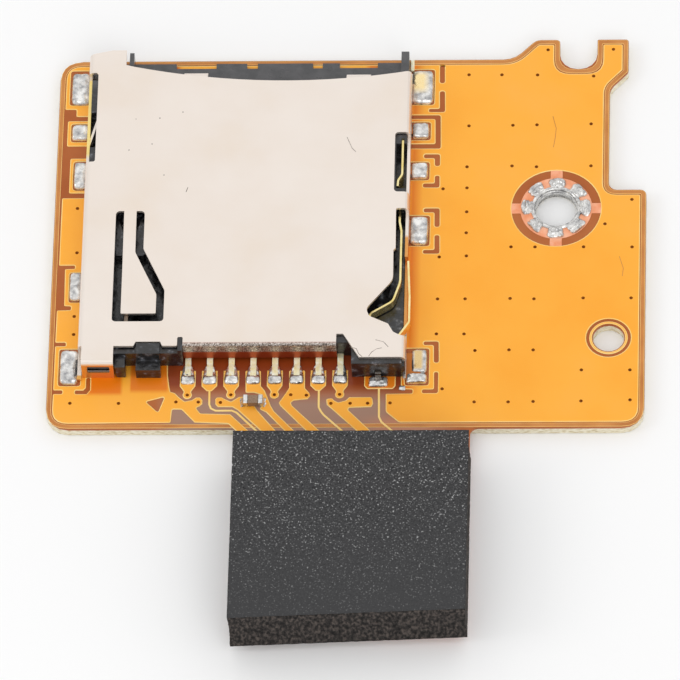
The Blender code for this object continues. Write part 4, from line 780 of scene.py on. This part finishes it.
def makeScrewRing():
    x, y = screwHole["x"], screwHole["y"]
    half = math.degrees(screwRing["bridge"] / 2 / screwRing["copper"])
    outline = []
    for quarter in range(4):
        middle = quarter * 90
        outline += disc(x, y, screwRing["outer"] + 0.02, 2, middle - half * 0.8, half * 1.6)
        outline += disc(x, y, screwRing["copper"], 10, middle + half, 90 - 2 * half)
    copper = cutFilm("ringCopper", [outline, disc(x, y, screwHole["hole"] + 0.03, 32)], "ringCopper")
    copper.data.materials[1] = finishes["ringCopper"]
    rounds = []
    clearSelection()
    bpy.ops.mesh.primitive_torus_add(major_segments=72, minor_segments=14, major_radius=screwRing["lip"] * mm,
            minor_radius=screwRing["lipThick"] * mm,
            location=(x * mm, y * mm, (boardTop + 0.01) * mm))
    rounds.append(bpy.context.object)
    clearSelection()
    low = screwRing["barrelFoot"]
    bpy.ops.mesh.primitive_cylinder_add(vertices=64, radius=screwRing["barrel"] * mm, depth=(boardTop - low) * mm,
            end_fill_type="NOTHING",
            location=(x * mm, y * mm, (boardTop + low) / 2 * mm))
    barrel = bpy.context.object
    wall = barrel.modifiers.new("wall", "SOLIDIFY")
    wall.thickness = screwRing["barrelWall"] * mm
    bpy.ops.object.modifier_apply(modifier="wall")
    rounds.append(barrel)
    seeded = random.Random(7)
    for index in range(screwRing["spots"]):
        rounds.append(ringLump(x, y, index, seeded))
    whole = joined(rounds, "screwRingSolder")
    bpy.ops.object.shade_smooth()
    settle(whole, "solderTin")


def makeAlignRing():
    x, y = alignHole["x"], alignHole["y"]
    cutFilm("alignRing", [disc(x, y, alignHole["ring"], 32), disc(x, y, alignHole["hole"] + 0.04, 32)])


makeScrewRing()
makeAlignRing()
print("hole rings made")


solder = {
    "sideRise": 0.28,      # height on the side feet
    "tailRise": 0.19,      # on the tails
    "flatRise": 0.27,      # and on the two flat feet
    "lumps": 0.05,         # height and width of the folds
    "lumpSize": 0.34,
    "cornerIn": 0.13,
    "least": 0.012,
    "upWall": 0.08,        # how far the first right joint creeps up the wall
    "bead": (2.70, 3.04, -3.12, -2.84),
    "beadRise": 0.07,
}
chipFillet = {"reach": 0.17, "wider": 0.03}
tail = {"end": -2.31, "half": 0.16, "front": -2.74, "back": -1.62, "wide": 0.74, "narrow": 0.50}
footPlate = (3.30, 4.12, -2.16, -0.74)       # the fifth right foot: x from, to, y from, to


def solderLump(name, ends, seed, heightAt, widthAt=None):
    # a finely cut cube whose top is lifted by heightAt(u, v), u and v from -1 to 1
    x0, x1, y0, y1 = ends
    lump = fineCube()
    lump.name = name
    for corner in lump.data.vertices:
        u, v, share = corner.co.x, corner.co.y, (corner.co.z + 1) / 2
        pull = 1 - solder["cornerIn"] * abs(u * v) ** 4
        width = widthAt(v) if widthAt else 1
        x = (x0 + x1) / 2 + (x1 - x0) / 2 * u * pull * width
        y = (y0 + y1) / 2 + (y1 - y0) / 2 * v * pull
        spot = Vector((x, y, seed * 0.7)) / solder["lumpSize"]
        wave = noise.noise(spot) + 0.6 * noise.noise(spot * 2.1) - 0.8 * abs(noise.noise(spot * 1.4))
        rim = (1 - u ** 6) * (1 - v ** 6)
        height = max(heightAt(u, v) + solder["lumps"] * wave * rim, solder["least"])
        corner.co = Vector((x, y, boardTop + share * height)) * mm
    pickOnly(lump)
    bpy.ops.object.shade_smooth()
    return lump


def pillow(high, ratio):
    # rounded rim, flat crown; ratio is length over width
    def heightAt(u, v):
        sideways = math.sqrt(max(1 - abs(u) ** 5, 0))
        along = math.sqrt(max(1 - abs(v) ** (5 * max(ratio, 1)), 0))
        return high * (0.10 + 0.90 * sideways * along)
    return heightAt


def tailHeight(u, v):
    # the tail's end lies bare on top, with solder up both sides and a mound in front of it
    y = (tail["front"] + tail["back"]) / 2 + (tail["back"] - tail["front"]) / 2 * v
    x = abs(u) * tail["wide"] / 2
    rim = math.sqrt(max(1 - abs(u) ** 4, 0))
    if y > tail["end"]:
        return 0.075 if x < tail["half"] else 0.02 + 0.12 * rim * (1 - 0.3 * v)
    front = (y - tail["front"]) / (tail["end"] - tail["front"])
    return 0.02 + solder["tailRise"] * rim * math.sqrt(max(1 - (1 - front) ** 2.5, 0))


def tailWidth(v):
    share = (1 - v) / 2
    return tail["narrow"] / tail["wide"] + (1 - tail["narrow"] / tail["wide"]) * min(share * 1.5, 1)


def makeSolder():
    for seed, name in enumerate(sorted(name for name in nodes if name.startswith("solder_"))):
        low, high = (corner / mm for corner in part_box(name))
        ends = [low.x, high.x, low.y, high.y]
        ratio = (high.y - low.y) / (high.x - low.x)
        rise = solder["sideRise"]
        if name == "solder_right_5":
            ends[2:] = low.y - 0.04, footPlate[2] - 0.02
            ratio = 1
            rise = solder["flatRise"]
        if name == "solder_right_1":
            ends[0] = low.x - solder["upWall"]
            rise = solder["flatRise"]
        if name.startswith("solder_contact"):
            middle = (low.x + high.x) / 2
            ends = [middle - tail["wide"] / 2, middle + tail["wide"] / 2, tail["front"], tail["back"]]
            lump = solderLump(name.replace("solder", "joint"), ends, seed, tailHeight, tailWidth)
        elif name == "solder_detect":
            ends[2:] = low.y + 0.12, high.y
            lump = solderLump("jointDetect", ends, seed, pillow(solder["tailRise"], 1))
        else:
            lump = solderLump(name.replace("solder", "joint"), ends, seed, pillow(rise, ratio))
        finish = "footSolder" if name in ("solder_right_1", "solder_right_5") else "solderTin"
        settle(lump, finish)
        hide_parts(name)
    plate = solderLump("footRight5", footPlate, 31, pillow(solder["flatRise"], 2))
    settle(plate, "footSolder")
    bead = solderLump("solderBead", solder["bead"], 33, pillow(solder["beadRise"], 1))
    settle(bead, "solderTin")


def filletHeight(side):
    # steep at the chip's end, flat at the pad's
    def heightAt(u, v):
        return 0.02 + 0.24 * ((1 - side * u) / 2) ** 1.7 * math.sqrt(max(1 - v ** 4, 0))
    return heightAt


def makeChipFillets():
    fillets = []
    for side, node in ((-1, "capacitor_terminal_left"), (1, "capacitor_terminal_right")):
        low, high = (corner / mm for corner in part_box(node))
        inner = low.x if side < 0 else high.x
        ends = sorted((inner - side * 0.02, inner + side * chipFillet["reach"]))
        fillets.append(solderLump("fillet", (*ends, low.y - chipFillet["wider"], high.y + chipFillet["wider"]),
                40 + side, filletHeight(side)))
    settle(joined(fillets, "chipFillets"), "solderTin")


makeSolder()
makeChipFillets()
print("solder joints made")


scratches = {
    "cover": ([(1.22, -1.98), (1.37, -1.73), (1.61, -1.54), (1.88, -1.48)],
              [(0.24, -1.41), (0.59, -1.52), (0.72, -1.83), (0.90, -2.00)],
              [(1.55, -1.00), (1.95, -1.12), (2.20, -1.42)], [(-0.17, 11.21), (0.1, 10.54), (0.31, 10.3)],
              [(-8.21, 8.22), (-8.3, 7.92)]),
    "film": ([(10.27, 13.35), (10.45, 12.61), (10.41, 12.06), (10.32, 11.45)],
             [(13.75, 4.83), (13.96, 4.11), (13.91, 3.63)]),
    "wide": 0.035,
    "pits": [(-9.46, 8.96), (-10.13, 10.85), (-8.61, 12.79), (-11.0, 12.38), (-11.3, 10.49), (-9.78, 12.43)],
    "pit": 0.035,
}


def makeScratches():
    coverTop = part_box("shell")[1].z / mm
    for where, level, finish in (("cover", coverTop, "scuffLine"), ("film", boardTop + film["rise"], "edgeFilm")):
        outlines = [strip(path, scratches["wide"]) for path in scratches[where]]
        if where == "cover":
            outlines += [disc(x, y, scratches["pit"], 8) for x, y in scratches["pits"]]
        mark = cutFilm(where + "Scratches", outlines, finish, 0.006, 0.003, level)
        mark.data.materials[1] = finishes[finish]


makeScratches()


plugRow = {"pairs": 12, "pitch": 0.4, "wide": 0.18, "thick": 0.07, "tall": 0.34, "inset": 0.30, "lift": 0.02,
           "round": 0.025}


def makePlugContacts():
    low, high = (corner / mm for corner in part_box("plug_housing"))
    strips = []
    for side in (-1, 1):
        wallY = (low.y + high.y) / 2 + side * ((high.y - low.y) / 2 - plugRow["inset"])
        for index in range(plugRow["pairs"]):
            x = (low.x + high.x) / 2 + (index - (plugRow["pairs"] - 1) / 2) * plugRow["pitch"]
            half = Vector((plugRow["wide"], plugRow["thick"], plugRow["tall"])) / 2
            middle = Vector((x, wallY, low.z + plugRow["lift"] + half.z))
            leaf = block("leaf", middle - half, middle + half)
            roundEdges(leaf, plugRow["round"])
            strips.append(leaf)
    whole = joined(strips, "plugContacts")
    bpy.ops.object.shade_smooth_by_angle(angle=math.radians(40))
    settle(whole, "contactGold")


makePlugContacts()
print("plug contacts made")


housingLeg = {"left": -11.67, "right": -11.10, "back": -1.26, "front": -2.30, "top": 1.56, "foot": 0.05,
              "lift": 0.01, "round": 0.05}


def makeHousingLeg():
    leg = housingLeg
    piece = block("housingLeg", (leg["left"], leg["front"], boardTop + leg["lift"]),
                  (leg["right"], leg["back"], leg["top"]))
    middle = (leg["top"] + boardTop) / 2 * mm
    for corner in piece.data.vertices:
        # the leg narrows towards the board
        if corner.co.z < middle and corner.co.x < (leg["left"] + leg["right"]) / 2 * mm:
            corner.co.x += leg["foot"] * 2 * mm
        if corner.co.z > middle and corner.co.y < (leg["front"] + leg["back"]) / 2 * mm:
            corner.co.y += leg["foot"] * mm
    roundEdges(piece, leg["round"], 3)
    bpy.ops.object.shade_smooth_by_angle(angle=math.radians(40))
    settle(piece, "blackMoulding")


makeHousingLeg()


# coil spring behind the slider, and the sheet's edge beside the right guide

coil = {"wire": 0.11, "turns": 10, "sides": 8, "steps": 28, "closedPitch": 0.125, "travel": 4.6}
sheetEdge = {"left": 2.93, "right": 3.12, "from": 16.10, "to": 16.76, "high": 0.16, "lift": 0.01,
             "round": 0.02}


def makeCoil():
    low, high = (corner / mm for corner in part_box("eject_spring"))
    wire = coil["wire"] / 2
    radius = (high.x - low.x) / 2 - wire
    length = high.y - low.y
    openPitch = (length - 2 * wire - 2 * coil["closedPitch"]) / coil["turns"]
    y = low.y + wire
    runs = []
    for turns, pitch in ((1, coil["closedPitch"]), (coil["turns"], openPitch), (1, coil["closedPitch"])):
        clearSelection()
        bpy.ops.mesh.primitive_circle_add(vertices=coil["sides"], radius=wire * mm, location=(radius * mm, 0, 0))
        run = bpy.context.object
        bpy.ops.object.transform_apply(location=True, rotation=True, scale=True)
        turning = run.modifiers.new("turns", "SCREW")
        turning.axis = "Y"
        turning.iterations = turns
        turning.steps = turning.render_steps = coil["steps"]
        turning.screw_offset = pitch * mm
        bpy.ops.object.modifier_apply(modifier="turns")
        run.location.y = y * mm
        bpy.ops.object.transform_apply(location=True, rotation=True, scale=True)
        y += turns * pitch
        runs.append(run)
    whole = joined(runs, "coilSpring")
    closeUp(whole, 0.001, coil["sides"])
    bpy.ops.object.shade_smooth()
    middle = Vector(((low.x + high.x) / 2, 0, (low.z + high.z) / 2)) * mm
    for point in whole.data.vertices:
        point.co += middle
    settle(whole, "drawnSteel")
    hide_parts("eject_spring")
    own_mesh(whole)


def makeSheetEdge():
    edge = sheetEdge
    base = boardTop + edge["lift"]
    piece = block("sheetEdge", (edge["left"], edge["from"], base), (edge["right"], edge["to"], base + edge["high"]))
    roundEdges(piece, edge["round"])
    bpy.ops.object.shade_smooth_by_angle(angle=math.radians(40))
    settle(piece, "tailGold")


makeCoil()
makeSheetEdge()
print("coil spring and sheet edge made")


foam = {"cell": 0.14, "rough": 0.03, "sag": 0.05, "waist": 0.06}


def makeFoam():
    low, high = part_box("foam_pad")
    corners = [v.co for v in nodes["foam_pad"].data.vertices]
    front = {side: min(c.y for c in corners if (c.x - (low.x + high.x) / 2) * side > 0.004)
             for side in (-1, 1)}
    clearSelection()
    size = high - low
    bpy.ops.mesh.primitive_cube_add(size=1, location=(low + high) / 2, scale=size)
    pad = bpy.context.object
    pad.name = "foamPad"
    bpy.ops.object.transform_apply(location=True, rotation=True, scale=True)
    # rows of cells along each side, in place of a uniform subdivision
    bpy.ops.object.mode_set(mode="EDIT")
    for axis, length in enumerate(size):
        count = int(length / (foam["cell"] * mm))
        normal = [0, 0, 0]
        normal[axis] = 1
        for step in range(1, count):
            bpy.ops.mesh.select_all(action="SELECT")
            place = [0, 0, 0]
            place[axis] = low[axis] + length * step / count
            bpy.ops.mesh.bisect(plane_co=place, plane_no=normal)
    bpy.ops.mesh.select_all(action="SELECT")
    bpy.ops.mesh.normals_make_consistent(inside=False)
    bpy.ops.object.mode_set(mode="OBJECT")
    middle = (low + high) / 2
    for corner in pad.data.vertices:
        across = (corner.co.x - low.x) / size.x
        along = (corner.co.y - low.y) / size.y
        up = (corner.co.z - low.z) / size.z
        frontHere = front[-1] + (front[1] - front[-1]) * across
        y = frontHere + (high.y - frontHere) * along
        x = corner.co.x
        # the cut sides draw in a little between top and base
        waist = foam["waist"] * mm * math.sin(math.pi * up)
        if across in (0.0, 1.0) or abs(across - 0.5) > 0.4999:
            x += waist if across < 0.5 else -waist
        if along < 0.0001 or along > 0.9999:
            y += waist if along < 0.5 else -waist
        spot = Vector((x, y, corner.co.z)) / mm
        fine = noise.noise_vector(spot * 4.1) * 0.6 + noise.noise_vector(spot * 9.3) * 0.5
        wave = noise.noise(spot * 0.22) * foam["sag"] * mm
        shift = fine * foam["rough"] * mm
        z = corner.co.z + (shift.z + wave) * min(up * 8, 1)
        corner.co = Vector((min(max(x + shift.x, low.x), high.x), min(max(y + shift.y, low.y), high.y),
                            min(z, high.z)))
    pad.data.materials.append(finishes["openFoam"])
    pad.data.materials.append(finishes["cutFoam"])
    for face in pad.data.polygons:
        face.material_index = 0 if abs(face.normal.z) > 0.7 else 1
    pickOnly(pad)
    bpy.ops.object.shade_smooth()
    settle(pad, None)
    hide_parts("foam_pad")


makeFoam()
print("foam pad made")


nodeFinish = {
    "flex_circuit": "bareFilm", "stiffener": "laminate", "shell": "nickelSheet",
    "socket_housing": "blackMoulding", "plug_housing": "blackMoulding", "slider": "blackMoulding",
    "plug_lug_left": "nickelSheet", "plug_lug_right": "nickelSheet", "switch_contact": "contactGold",
    "switch_blade": "contactGold", "brake_spring": "contactGold", "card_latch": "contactGold",
    "cam_pin": "drawnSteel", "eject_spring": "drawnSteel", "capacitor_body": "ceramicBody",
    "capacitor_terminal_left": "solderTin", "capacitor_terminal_right": "solderTin",
}
softEdges = {"shell": 0.03, "socket_housing": 0.03, "slider": 0.03, "plug_housing": 0.02,
             "flex_circuit": 0.02, "stiffener": 0.02}


def dressNodes():
    for name, node in nodes.items():
        finishName = nodeFinish.get(name, "tailGold")
        node.data.materials.clear()
        node.data.materials.append(finishes[finishName])
        if name in softEdges:
            weld = node.modifiers.new("weld", "WELD")
            weld.merge_threshold = 0.0005 * mm
            bevel = node.modifiers.new("softEdge", "BEVEL")
            bevel.width = softEdges[name] * mm
            bevel.segments = 2
            bevel.limit_method = "ANGLE"
            bevel.angle_limit = math.radians(40)
            bevel.harden_normals = False


dressNodes()
print("nodes dressed")
